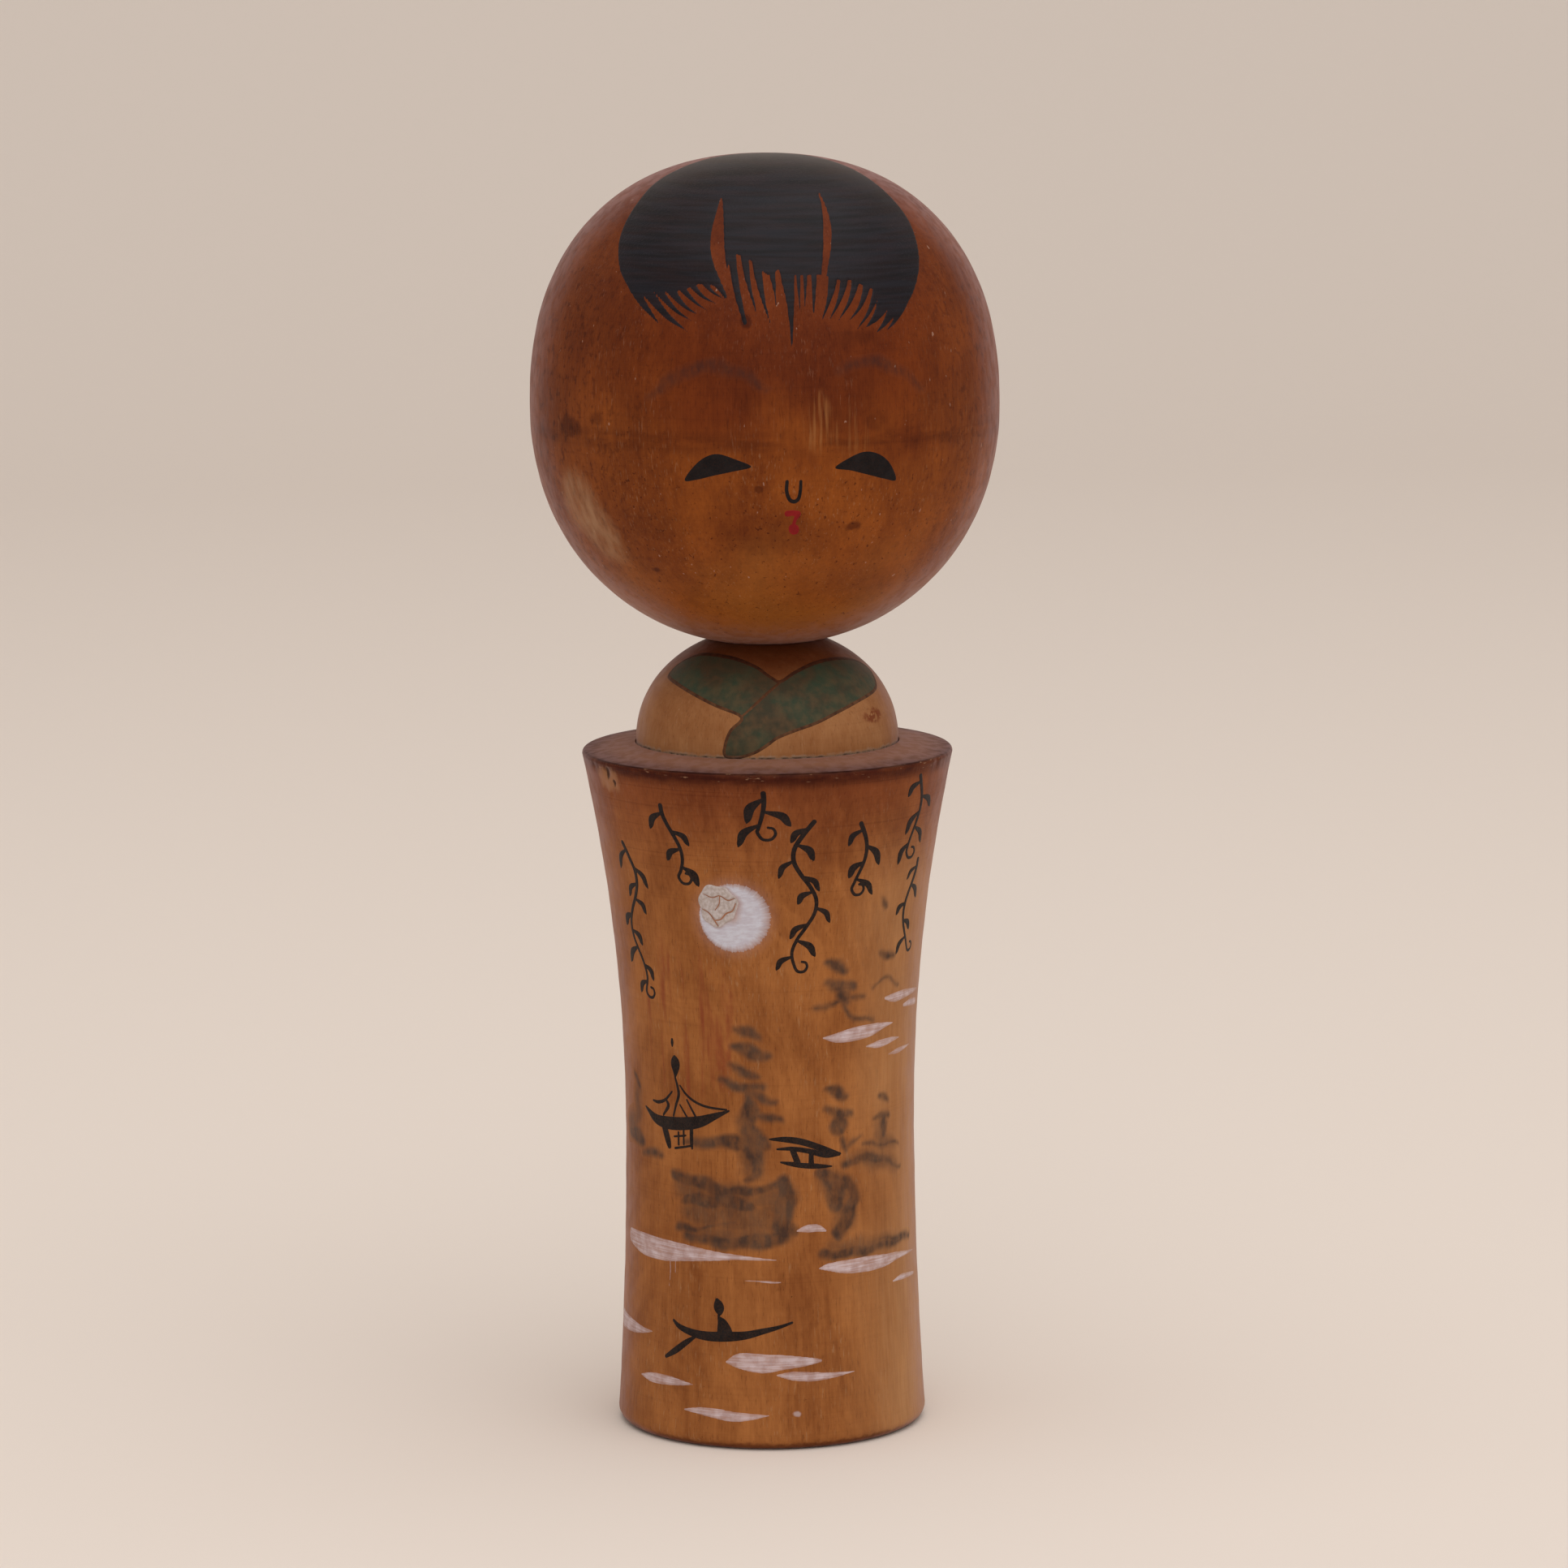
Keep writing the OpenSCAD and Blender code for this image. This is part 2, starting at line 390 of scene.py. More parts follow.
# %% Dome, head and peg meshes
PEG_R, COLLAR_R, COLLAR_H = 7.0, peg_box[1].x / MM, 4.0
PEG_LOW, PEG_TOP = peg_box[0].z / MM, peg_box[1].z / MM
PEG_CHAMFER = 0.8


def dome_outline():
    """Closed half outline of the dome: up the tenon and the outside, down the bore and the pocket."""
    bore_r, pocket_r = PEG_R + BORE_PLAY, COLLAR_R + POCKET_PLAY
    pocket_z = TENON_Z + COLLAR_H + COLLAR_PLAY
    cap_low = DOME_TOP - 3
    side = rows(dome_side, DOME_SIDE_Z, cap_low, 0.25)
    cap_r = np.linspace(side[-1, 0], NECK_FLAT_R, 30)[1:]
    z = np.linspace(cap_low, DOME_TOP, 4000)
    return np.vstack([
        [[pocket_r, pocket_z], [pocket_r, TENON_Z], [TENON_R, TENON_Z], [TENON_R, SEAT_Z]],
        [[DOME_R, SEAT_Z], [DOME_R, TRUNK_TOP]],
        side,
        np.stack([cap_r, np.interp(-cap_r, -dome_side(z), z)], 1),
        [[NECK_FLAT_R - 1, DOME_TOP], [bore_r, DOME_TOP], [bore_r, pocket_z]],
    ])


def ring_mesh(outline, sectors):
    """Like turn, for a closed outline that never touches the axis: the last row joins the first."""
    points, here, there = carry_round(outline, sectors)
    low = sectors * np.arange(len(outline))[:, None]
    high = sectors * ((np.arange(len(outline)) + 1) % len(outline))[:, None]
    walls = np.stack([low + here, low + there, high + there, high + here], 2)
    return points, walls.reshape(-1, 4).tolist()


dome = make_turned("turned_shoulder_dome", *ring_mesh(dome_outline(), DOME_SECTORS), "dome",
                   "shoulder_dome")


def head_outline():
    """Half outline of the head: the blind hole, the neck flat, the jaw, the side and the crown."""
    hole_r = PEG_R + HOLE_PLAY
    low = head_side(np.linspace(HEAD_LOW, HEAD_LOW + 4, 4000))
    low_z = np.linspace(HEAD_LOW, HEAD_LOW + 4, 4000)
    jaw_r = np.linspace(NECK_FLAT_R, low[-1], 22)
    top_z = np.linspace(HEAD_TOP - 9, HEAD_TOP, 6000)
    crown_r = np.linspace(float(head_side(top_z[:1])[0]), 0.8, 34)[1:]
    crown_z = np.interp(-crown_r, -head_side(top_z), top_z)
    return np.vstack([
        [[0, PEG_TOP], [hole_r, PEG_TOP], [hole_r, HEAD_LOW], [NECK_FLAT_R - 1, HEAD_LOW]],
        np.stack([jaw_r, np.interp(jaw_r, low, low_z)], 1),
        rows(head_side, HEAD_LOW + 4, HEAD_TOP - 9, 0.75)[1:],
        np.stack([crown_r, crown_z], 1),
        [[0, HEAD_TOP]],
    ])


head = make_turned("turned_head", *turn(head_outline(), SECTORS), "head", "head")
peg_outline = [
    [0, PEG_LOW], [COLLAR_R - PEG_CHAMFER, PEG_LOW], [COLLAR_R, PEG_LOW + PEG_CHAMFER],
    [COLLAR_R, PEG_LOW + COLLAR_H], [PEG_R, PEG_LOW + COLLAR_H], [PEG_R, PEG_TOP - PEG_CHAMFER],
    [PEG_R - PEG_CHAMFER, PEG_TOP], [0, PEG_TOP],
]
peg = make_turned("turned_neck_peg", *turn(peg_outline, PEG_SECTORS), "peg", "neck_peg")

# %% [markdown]
# ## Shader building blocks
# Every finish below is made of the same few moves: stretch the object's own coordinates, feed
# them to a noise, cut the noise into a mask and mix colours with it. Small functions for those
# moves keep each material short. Coordinates are turned to millimetres first, so every size in
# a shader can be checked with a ruler.

# %% Node helpers
def put(tree, kind, inputs=None, **settings):
    """Adds a shader node; an input is a value, or the output socket that feeds it."""
    node = tree.nodes.new("ShaderNode" + kind)
    for name, value in settings.items():
        setattr(node, name, value)
    for key, value in (inputs or {}).items():
        if isinstance(value, bpy.types.NodeSocket):
            tree.links.new(value, node.inputs[key])
        else:
            node.inputs[key].default_value = value
    return node


def calc(tree, operation, *values):
    """One step of arithmetic on numbers."""
    return put(tree, "Math", dict(enumerate(values)), operation=operation).outputs[0]


def times(tree, a, *others):
    """The product of a and all others."""
    for other in others:
        a = calc(tree, "MULTIPLY", a, other)
    return a


def times_plus(tree, a, factor, b):
    """a times factor, plus b."""
    return calc(tree, "MULTIPLY_ADD", a, factor, b)


def vector(tree, operation, a, b):
    """One step of arithmetic on vectors, b being a plain triple or a socket."""
    return put(tree, "VectorMath", {0: a, 1: b}, operation=operation).outputs[0]


def cut(tree, value, low, high, out_low=0.0, out_high=1.0):
    """A soft threshold: below low gives out_low, above high gives out_high."""
    inputs = {"Value": value, "From Min": low, "From Max": high, "To Min": out_low, "To Max": out_high}
    return put(tree, "MapRange", inputs, interpolation_type="SMOOTHSTEP").outputs[0]


def noise(tree, place, stretch, detail=2.0, shift=0.0):
    """Noise with a grain of 1 / stretch millimetres along each axis, from 0 to 1."""
    place = vector(tree, "MULTIPLY", place, stretch)
    place = vector(tree, "ADD", place, (shift, shift * 0.7, shift * 0.3))
    return put(tree, "TexNoise", {"Vector": place, "Scale": 1.0, "Detail": detail}).outputs[0]


def mix(tree, amount, a, b):
    """Mixes two colours."""
    return put(tree, "Mix", {0: amount, 6: a, 7: b}, data_type="RGBA").outputs[2]


def multiply(tree, amount, a, b):
    """Multiplies colour a by colour b, by the given amount."""
    return put(tree, "Mix", {0: amount, 6: a, 7: b}, data_type="RGBA", blend_type="MULTIPLY").outputs[2]


def millimetres(tree):
    """The object's own coordinates in millimetres."""
    return vector(tree, "MULTIPLY", put(tree, "TexCoord").outputs["Object"], (1000, 1000, 1000))


def new_group(name, inputs, outputs):
    """An empty shader group with named sockets; returns its tree, input and output nodes."""
    tree = bpy.data.node_groups.new(name, "ShaderNodeTree")
    for way, sockets in (("INPUT", inputs), ("OUTPUT", outputs)):
        for label, kind, start in sockets:
            socket = tree.interface.new_socket(name=label, in_out=way, socket_type="NodeSocket" + kind)
            if start is not None:
                socket.default_value = start
    return tree, tree.nodes.new("NodeGroupInput"), tree.nodes.new("NodeGroupOutput")


def use_group(tree, group, inputs=None):
    """Places a group node and feeds its inputs."""
    return put(tree, "Group", inputs, node_tree=group)


print("shader sizes are in millimetres; one is", MM, "of the object's own units")

# %% [markdown]
# ### Old turned wood
# The doll is one species of pale, close-grained wood under an old tinted varnish. On all
# pieces the same things show: growth bands that lean through the block, fine streaks
# along the height, short pores, pale flecks where the varnish is thin, dirt specks and rings
# left by the gouge. One group makes all of them from the solid's own coordinates, as real wood
# does, so streaks run on over an edge. Each piece then sets its own two colours and amounts.

# %% Wood group
WOOD_OUTPUTS = [("Colour", "Color", None), ("Roughness", "Float", None), ("Height", "Float", None)]


def send_out(tree, made, colour, rough, height):
    """Links the three sockets that every wood group gives out, and returns its tree."""
    for label, socket in (("Colour", colour), ("Roughness", rough), ("Height", height)):
        tree.links.new(socket, made.inputs[label])
    return tree


def make_wood_group():
    """Growth bands, streaks, pores, flecks and gouge rings, mixed over two colours."""
    tree, given, made = new_group(
        "old_turned_wood",
        [("Light", "Color", (0.3, 0.11, 0.035, 1)), ("Deep", "Color", (0.18, 0.055, 0.018, 1)),
         ("Bands", "Float", 0.4), ("Streaks", "Float", 0.5), ("Flecks", "Float", 0.3),
         ("Clouds", "Float", 0.4), ("Shift", "Float", 0.0)],
        WOOD_OUTPUTS,
    )
    place = millimetres(tree)
    shift = given.outputs["Shift"]
    block = vector(tree, "ADD", place, put(tree, "CombineXYZ", {0: shift, 1: shift}).outputs[0])
    # Growth bands: noise along the distance from a leaning pith line outside the piece
    parts = put(tree, "SeparateXYZ", {0: vector(tree, "ADD", block, (62.0, 38.0, 0.0))})
    across = times_plus(tree, parts.outputs[2], 0.22, parts.outputs[0])
    squares = times_plus(tree, across, across, calc(tree, "POWER", parts.outputs[1], 2.0))
    warp = noise(tree, block, (0.03, 0.03, 0.02), 3.0)
    reach = times_plus(tree, warp, 34.0, calc(tree, "SQRT", squares))
    along = put(tree, "CombineXYZ", {0: times(tree, reach, 0.42),
                                     1: times(tree, parts.outputs[2], 0.012)})
    bands = cut(tree, put(tree, "TexNoise", {"Vector": along.outputs[0], "Scale": 1.0,
                                             "Detail": 3.0}).outputs[0], 0.34, 0.66)
    # Streaks along the height at two widths, and slow clouds of darker varnish
    wide = cut(tree, noise(tree, block, (0.55, 0.55, 0.02), 3.0), 0.35, 0.68)
    fine = cut(tree, noise(tree, block, (2.4, 2.4, 0.11), 5.0), 0.34, 0.68)
    mottle = cut(tree, noise(tree, block, (0.7, 0.7, 0.5), 6.0, 13.0), 0.36, 0.64)
    streaks = times_plus(tree, wide, 0.3, times(tree, fine, 0.4))
    streaks = times_plus(tree, mottle, 0.3, streaks)
    clouds = cut(tree, noise(tree, block, (0.08, 0.08, 0.055), 5.0), 0.36, 0.64)
    depth = times(tree, bands, given.outputs["Bands"])
    depth = times_plus(tree, streaks, given.outputs["Streaks"], depth)
    depth = times_plus(tree, clouds, given.outputs["Clouds"], depth)
    colour = mix(tree, calc(tree, "MINIMUM", depth, 1.0), given.outputs["Light"], given.outputs["Deep"])
    # Short dark pores and scattered specks of dirt
    pores = cut(tree, noise(tree, block, (4.2, 4.2, 0.5), 2.0, 5.0), 0.60, 0.72)
    colour = multiply(tree, times(tree, pores, 0.42), colour, (0.45, 0.36, 0.34, 1))
    specks = cut(tree, noise(tree, block, (2.1, 2.1, 2.1), 1.0, 11.0), 0.775, 0.82)
    colour = multiply(tree, times(tree, specks, 0.8), colour, (0.25, 0.18, 0.16, 1))
    # Pale flecks where the varnish is thin
    flecks = cut(tree, noise(tree, block, (3.2, 3.2, 0.45), 3.0, 23.0), 0.58, 0.74)
    patches = cut(tree, noise(tree, block, (0.11, 0.11, 0.07), 2.0, 31.0), 0.38, 0.62)
    flecks = times(tree, flecks, patches, given.outputs["Flecks"])
    colour = mix(tree, flecks, colour, (0.42, 0.25, 0.13, 1))
    # Rings of the gouge, and a surface that is smoother where the varnish is thick
    rings = noise(tree, place, (0.02, 0.02, 2.4), 3.0, 41.0)
    colour = multiply(tree, cut(tree, rings, 0.5, 0.7, 0.0, 0.10), colour, (0.5, 0.42, 0.4, 1))
    relief = times_plus(tree, rings, 0.4, times(tree, fine, 0.25))
    relief = calc(tree, "SUBTRACT", relief, times(tree, pores, 0.4))
    rough = times_plus(tree, noise(tree, place, (0.2, 0.2, 0.2), 3.0, 51.0), 0.16, 0.42)
    rough = times_plus(tree, flecks, 0.2, rough)
    return send_out(tree, made, colour, rough, relief)


def make_spot_group():
    """A soft-edged blot: 1 inside an ellipsoid about Centre with half sizes Size, ragged by Rag."""
    tree, given, made = new_group(
        "soft_spot", [("Centre", "Vector", (0, 0, 0)), ("Size", "Vector", (1, 1, 1)),
                      ("Rag", "Float", 0.4)],
        [("Mask", "Float", None)])
    place = millimetres(tree)
    away = vector(tree, "DIVIDE", vector(tree, "SUBTRACT", place, given.outputs["Centre"]),
                  given.outputs["Size"])
    far = put(tree, "VectorMath", {0: away}, operation="LENGTH").outputs["Value"]
    ragged = calc(tree, "SUBTRACT", noise(tree, place, (0.8, 0.8, 0.45), 4.0), 0.5)
    far = calc(tree, "ADD", far, times(tree, ragged, given.outputs["Rag"]))
    tree.links.new(cut(tree, far, 0.55, 1.1, 1.0, 0.0), made.inputs["Mask"])
    return tree


wood_group = make_wood_group()
spot_group = make_spot_group()
print("wood group has", len(wood_group.nodes), "nodes")

# %% [markdown]
# Each piece gets its own wood group on top: the plain wood plus what happened to that piece.
# A piece's paint needs exactly the same wood under its thin places, so this is a group and not
# a material: the bare wood and every paint on it place the same group.

# %% Wood of each piece
def spot(tree, centre, size, rag=0.4):
    """The mask of one soft spot."""
    return use_group(tree, spot_group, {"Centre": tuple(centre), "Size": tuple(size),
                                        "Rag": rag}).outputs[0]


def start_piece_group(name, settings):
    """A group that begins with the plain wood; returns what the piece's own touches need."""
    tree, _, made = new_group(name, [], WOOD_OUTPUTS)
    base = use_group(tree, wood_group, settings)
    place = millimetres(tree)
    parts = put(tree, "SeparateXYZ", {0: place})
    return tree, made, base, place, parts


STAINS = [  # centre, half sizes, strength
    (at(15.7, 40.7, 174.7), (1.7, 2.0, 1.1), 0.8), (at(-41.7, 36, 165.9), (1.2, 1.2, 0.7), 0.8),
    (at(-12, 41.5, 212.5), (1.3, 1.5, 1.6), 0.8), (at(-4, 41, 173), (15, 8, 5), 0.25),
    (at(-36, 42, 175), (9, 9, 3.5), 0.2), (at(-62, 43, 192), (4, 4, 2.5), 0.7),
    (at(16, 40, 209), (5, 4, 2), 0.4), (at(-9, 43, 182), (1.1, 1.5, 0.8), 0.6),
    (at(20, 43, 194), (2.6, 2.5, 2.2), 0.35),
    (at(-52, 43, 194), (2.0, 2.5, 1.5), 0.5), (at(150, 40, 180), (12, 12, 9), 0.35),
    (at(100, 42, 200), (10, 10, 14), 0.3),
]


def make_head_wood():
    """Reddish brown, darker towards the crown, lighter and more orange towards the chin."""
    tree, made, base, place, parts = start_piece_group("head_wood", {
        "Light": (0.285, 0.074, 0.010, 1), "Deep": (0.130, 0.027, 0.0045, 1), "Bands": 0.12,
        "Streaks": 0.42, "Flecks": 0.28, "Clouds": 0.42, "Shift": 13.0})
    colour, x, z = base.outputs["Colour"], parts.outputs[0], parts.outputs[2]
    soft = times(tree, calc(tree, "SUBTRACT", noise(tree, place, (0.06, 0.06, 0.06), 3.0), 0.5), 34.0)
    level = calc(tree, "ADD", z, soft)
    colour = mix(tree, cut(tree, level, 174.0, 156.0, 0.0, 0.40), colour, (0.34, 0.125, 0.024, 1))
    high = times(tree, cut(tree, level, 182.0, 204.0),
                 cut(tree, calc(tree, "ABSOLUTE", x), 18.0, 36.0, 1.0, 0.62))
    colour = multiply(tree, high, colour, (0.60, 0.45, 0.50, 1))
    colour = multiply(tree, cut(tree, level, 204.0, 228.0), colour, (0.92, 0.95, 1.25, 1))
    # Painted shade: the left side, away from the light, is darker and more purple
    left = cut(tree, times_plus(tree, soft, 0.4, x), -14.0, -38.0, 0.0, 0.2)
    colour = multiply(tree, left, colour, (0.74, 0.74, 1.3, 1))
    # A darker ring where the ball was held; and painted shade at the sides, greyer and speckled, darkest
    # towards the silhouette
    ring = times(tree, cut(tree, z, 187.4, 190.4), cut(tree, z, 190.6, 193.4, 1.0, 0.0))
    ring = times(tree, ring, cut(tree, noise(tree, place, (0.1, 0.1, 0.5), 3.0, 7.0), 0.35, 0.6))
    colour = multiply(tree, times(tree, ring, 0.55), colour, (0.5, 0.42, 0.45, 1))
    # Painted shade: speckled darkening that grows towards the sides as seen from the front
    speckled_edge_shade = cut(tree, noise(tree, place, (0.9, 0.9, 0.7), 6.0, 3.0), 0.52, 0.68)
    sides = cut(tree, calc(tree, "ABSOLUTE", x), 16.0, 42.0, 0.15, 0.7)
    colour = multiply(tree, times(tree, speckled_edge_shade, sides), colour, (0.45, 0.38, 0.44, 1))
    dirt = cut(tree, noise(tree, place, (1.5, 1.5, 1.3), 3.0, 19.0), 0.64, 0.70)
    low = cut(tree, level, 196.0, 180.0, 0.25, 1.0)
    colour = multiply(tree, times(tree, dirt, times(tree, low, 0.75)), colour, (0.30, 0.22, 0.26, 1))
    # Places rubbed pale along the grain: low on one cheek and between the brows
    streaky = cut(tree, noise(tree, place, (0.6, 0.6, 0.03), 3.0, 9.0), 0.34, 0.66, 0.45, 1.0)
    for degrees, height, amount in ((-63, 177, 0.62), (-58, 171, 0.5), (-54, 166, 0.45)):
        cheek = spot(tree, at(degrees, 41.5, height), (6, 7, 8), 0.3)
        cheek = times(tree, cheek, streaky, amount)
        colour = mix(tree, cheek, colour, (0.37, 0.20, 0.105, 1))
    streaky = cut(tree, noise(tree, place, (1.3, 1.3, 0.08), 2.0, 9.0), 0.44, 0.66)
    for degrees, height, width, amount in ((5, 194.0, 3.4, 0.5), (14, 193.0, 5.0, 0.3)):
        brow = spot(tree, at(degrees, 43.5, height), (width, 6, 6.0), 0.5)
        brow = times(tree, brow, streaky, amount)
        colour = mix(tree, brow, colour, (0.32, 0.130, 0.040, 1))
    # Short scratches that show paler wood
    nicks = cut(tree, noise(tree, place, (1.1, 1.1, 0.6), 1.0, 47.0), 0.76, 0.80)
    colour = mix(tree, times(tree, nicks, 0.5), colour, (0.42, 0.26, 0.19, 1))
    # Single stains
    for centre, size, amount in STAINS:
        stain = times(tree, spot(tree, centre, size, 0.9), amount)
        colour = multiply(tree, stain, colour, (0.36, 0.27, 0.30, 1))
    return send_out(tree, made, colour, base.outputs["Roughness"], base.outputs["Height"])


def make_trunk_wood():
    """Orange brown, paler tan towards the right side, part fading of the wood and part painted light from
    that side; burnished dark along the rim's edge.
    """
    tree, made, base, place, parts = start_piece_group("trunk_wood", {
        "Light": (0.400, 0.150, 0.042, 1), "Deep": (0.208, 0.064, 0.016, 1), "Bands": 0.26,
        "Streaks": 0.40, "Flecks": 0.40, "Clouds": 0.40, "Shift": 0.0})
    colour, z = base.outputs["Colour"], parts.outputs[2]
    # Painted light with fading: paler tan on the right side, where the light falls, in the lower part of the
    # trunk
    slow = noise(tree, place, (0.05, 0.05, 0.03), 3.0)
    fade = cut(tree, times_plus(tree, slow, 16.0, parts.outputs[0]), 16.0, 36.0)
    fade = times(tree, fade, cut(tree, z, 124.0, 96.0))
    grain = cut(tree, noise(tree, place, (1.6, 1.6, 0.06), 4.0, 27.0), 0.34, 0.66)
    cloudy = cut(tree, noise(tree, place, (0.09, 0.09, 0.05), 4.0, 37.0), 0.35, 0.65)
    grain = times_plus(tree, cloudy, 0.55, times(tree, grain, 0.45))
    lit_and_faded_tan = mix(tree, grain, (0.52, 0.275, 0.120, 1), (0.39, 0.185, 0.072, 1))
    colour = mix(tree, times(tree, fade, 0.7), colour, lit_and_faded_tan)
    lathe = cut(tree, noise(tree, place, (0.03, 0.03, 3.2), 4.0, 33.0), 0.55, 0.70)
    lathe = times(tree, lathe, cut(tree, z, 98.0, 124.0, 0.08, 0.35))
    colour = multiply(tree, lathe, colour, (0.55, 0.46, 0.44, 1))
    # Redder wood under the rim
    ragged = noise(tree, place, (0.15, 0.15, 0.2), 4.0, 3.0)
    red = cut(tree, times_plus(tree, ragged, 12.0, z), 108.0, 134.0)
    colour = multiply(tree, times(tree, red, 0.9), colour, (0.58, 0.40, 0.42, 1))
    # The shelf on top is grey with old dust and darkens outwards; its very edge is broken by chips
    flat_part = cut(tree, z, SHELF_EDGE_Z - 0.2, SHELF_EDGE_Z + 0.1)
    colour = mix(tree, times(tree, flat_part, 0.8), colour, (0.240, 0.108, 0.052, 1))
    reach = put(tree, "VectorMath", {0: vector(tree, "MULTIPLY", place, (1, 1, 0))},
                operation="LENGTH").outputs["Value"]
    worn = cut(tree, noise(tree, place, (0.2, 0.2, 0.5), 4.0, 8.0), 0.34, 0.62, 0.65, 1.0)
    outer = times(tree, cut(tree, times_plus(tree, ragged, 2.0, reach), 29.0, 35.5), flat_part)
    colour = multiply(tree, times(tree, outer, worn), colour, (0.26, 0.15, 0.15, 1))
    edge = times(tree, cut(tree, z, RIM_Z - 3.0, RIM_Z - 0.2),
                 cut(tree, z, SHELF_EDGE_Z + 0.3, SHELF_EDGE_Z, 0.0, 1.0))
    colour = multiply(tree, times(tree, edge, worn), colour, (0.27, 0.16, 0.19, 1))
    chips = cut(tree, noise(tree, place, (0.45, 0.45, 2.2), 5.0, 14.0), 0.64, 0.72)
    near = times(tree, cut(tree, z, RIM_Z - 1.2, RIM_Z - 0.4),
                 cut(tree, z, SHELF_EDGE_Z + 0.2, SHELF_EDGE_Z, 0.0, 1.0))
    colour = mix(tree, times(tree, chips, near), colour, (0.22, 0.11, 0.062, 1))
    # Knot in the rim
    knot = spot(tree, at(-67, 34.5, 125.5), (4.5, 4.5, 2.6), 1.0)
    colour = mix(tree, times(tree, knot, 0.65), colour, (0.36, 0.17, 0.08, 1))
    for degrees, height, size in ((-67, 126.8, 0.9), (-64, 124.9, 0.6), (-66, 122.8, 0.5)):
        pit = spot(tree, at(degrees, 34.2, height), (size, size, 1.6 * size), 1.2)
        colour = multiply(tree, times(tree, pit, 0.9), colour, (0.12, 0.08, 0.07, 1))
    # Reddish runs of stain, and a darker band along the bottom of the foot
    runs = times(tree, cut(tree, noise(tree, place, (0.5, 0.5, 0.03), 3.0, 17.0), 0.48, 0.66),
                spot(tree, at(-45, 28, 80), (14, 12, 17), 0.8))
    colour = mix(tree, times(tree, runs, 0.75), colour, (0.22, 0.045, 0.018, 1))
    # A drop of chalk that fell near the foot
    drop = spot(tree, at(2, 29.2, 7), (1.0, 1.5, 0.6), 1.4)
    colour = mix(tree, times(tree, drop, 0.6), colour, (0.52, 0.42, 0.43, 1))
    # Darker along the bottom of the foot, with a ragged upper edge
    crumbs = noise(tree, place, (0.6, 0.6, 0.6), 4.0, 2.0)
    foot = cut(tree, times_plus(tree, crumbs, -1.6, z), 0.0, 1.0, 1.0, 0.0)
    colour = multiply(tree, times(tree, foot, 0.7), colour, (0.26, 0.13, 0.13, 1))
    rough = times_plus(tree, flat_part, 0.2, base.outputs["Roughness"])
    return send_out(tree, made, colour, rough, base.outputs["Height"])


def make_dome_wood():
    """Lighter tan, darker near the neck, part patina and part painted shade under the head; dusty at the
    foot, with painted shade in the gap there.
    """
    tree, made, base, place, parts = start_piece_group("dome_wood", {
        "Light": (0.385, 0.178, 0.072, 1), "Deep": (0.235, 0.082, 0.024, 1), "Bands": 0.15,
        "Streaks": 0.35, "Flecks": 0.35, "Clouds": 0.45, "Shift": 29.0})
    colour, z = base.outputs["Colour"], parts.outputs[2]
    # Painted shade under the head, with patina: darker towards the neck
    wavy = times_plus(tree, noise(tree, place, (0.2, 0.2, 0.3), 3.0), 3.0, z)
    colour = multiply(tree, cut(tree, wavy, 141.5, 149.0), colour, (0.44, 0.30, 0.28, 1))
    crumbs = noise(tree, place, (0.9, 0.9, 0.9), 4.0, 4.0)
    dust = cut(tree, times_plus(tree, crumbs, 1.6, z), TRUNK_TOP + 1.6, TRUNK_TOP + 0.6)
    colour = mix(tree, times(tree, dust, 0.6), colour, (0.34, 0.29, 0.23, 1))
    # Painted shade in the narrow gap where the dome sits in the trunk, broken up by dust
    gap_shade = cut(tree, z, TRUNK_TOP + 0.45, TRUNK_TOP + 0.1)
    gap_shade = times(tree, gap_shade, cut(tree, crumbs, 0.35, 0.6, 0.9, 0.2))
    colour = multiply(tree, gap_shade, colour, (0.22, 0.16, 0.14, 1))
    blot = cut(tree, noise(tree, place, (0.9, 0.9, 0.9), 2.0, 6.0), 0.38, 0.5)
    stain = times(tree, spot(tree, at(49, 23.5, 136.4), (3.2, 3.2, 1.5), 1.2), blot)
    colour = mix(tree, times(tree, stain, 0.9), colour, (0.17, 0.037, 0.010, 1))
    return send_out(tree, made, colour, base.outputs["Roughness"], base.outputs["Height"])


def make_peg_wood():
    """Raw, unvarnished dowel: paler and never touched by light or hands."""
    tree, made, base = start_piece_group("peg_wood", {
        "Light": (0.56, 0.37, 0.20, 1), "Deep": (0.42, 0.25, 0.12, 1), "Bands": 0.2,
        "Streaks": 0.5, "Flecks": 0.1, "Clouds": 0.2, "Shift": 51.0})[:3]
    rough = calc(tree, "ADD", base.outputs["Roughness"], 0.25)
    return send_out(tree, made, base.outputs["Colour"], rough, base.outputs["Height"])


piece_woods = {
    "head": make_head_wood(), "trunk": make_trunk_wood(), "dome": make_dome_wood(), "peg": make_peg_wood(),
}
for wood, group in piece_woods.items():
    print(wood, "wood has", len(group.nodes), "nodes")

# %% [markdown]
# A bare wood material only shows its group: colour, roughness and a shallow bump. The varnish
# is old and thin, so the specular level is low. Where the surface turns away from the eye, which
# Layer Weight measures, a mottled grey pink is mixed into the colour: a painted sheen.

# %% Bare wood materials
WOOD_SPECULAR = 0.08
PAINT_SPECULAR = 0.10
BUMP_DEPTH = 0.05 * MM
PAINTED_SHEEN_COLOUR = (0.41, 0.255, 0.25, 1)
PAINTED_SHEEN_ON_WOOD, PAINTED_SHEEN_ON_PAINT = 0.44, 0.08
PAINTED_SHEEN_GRAIN = (0.55, 0.55, 0.32)


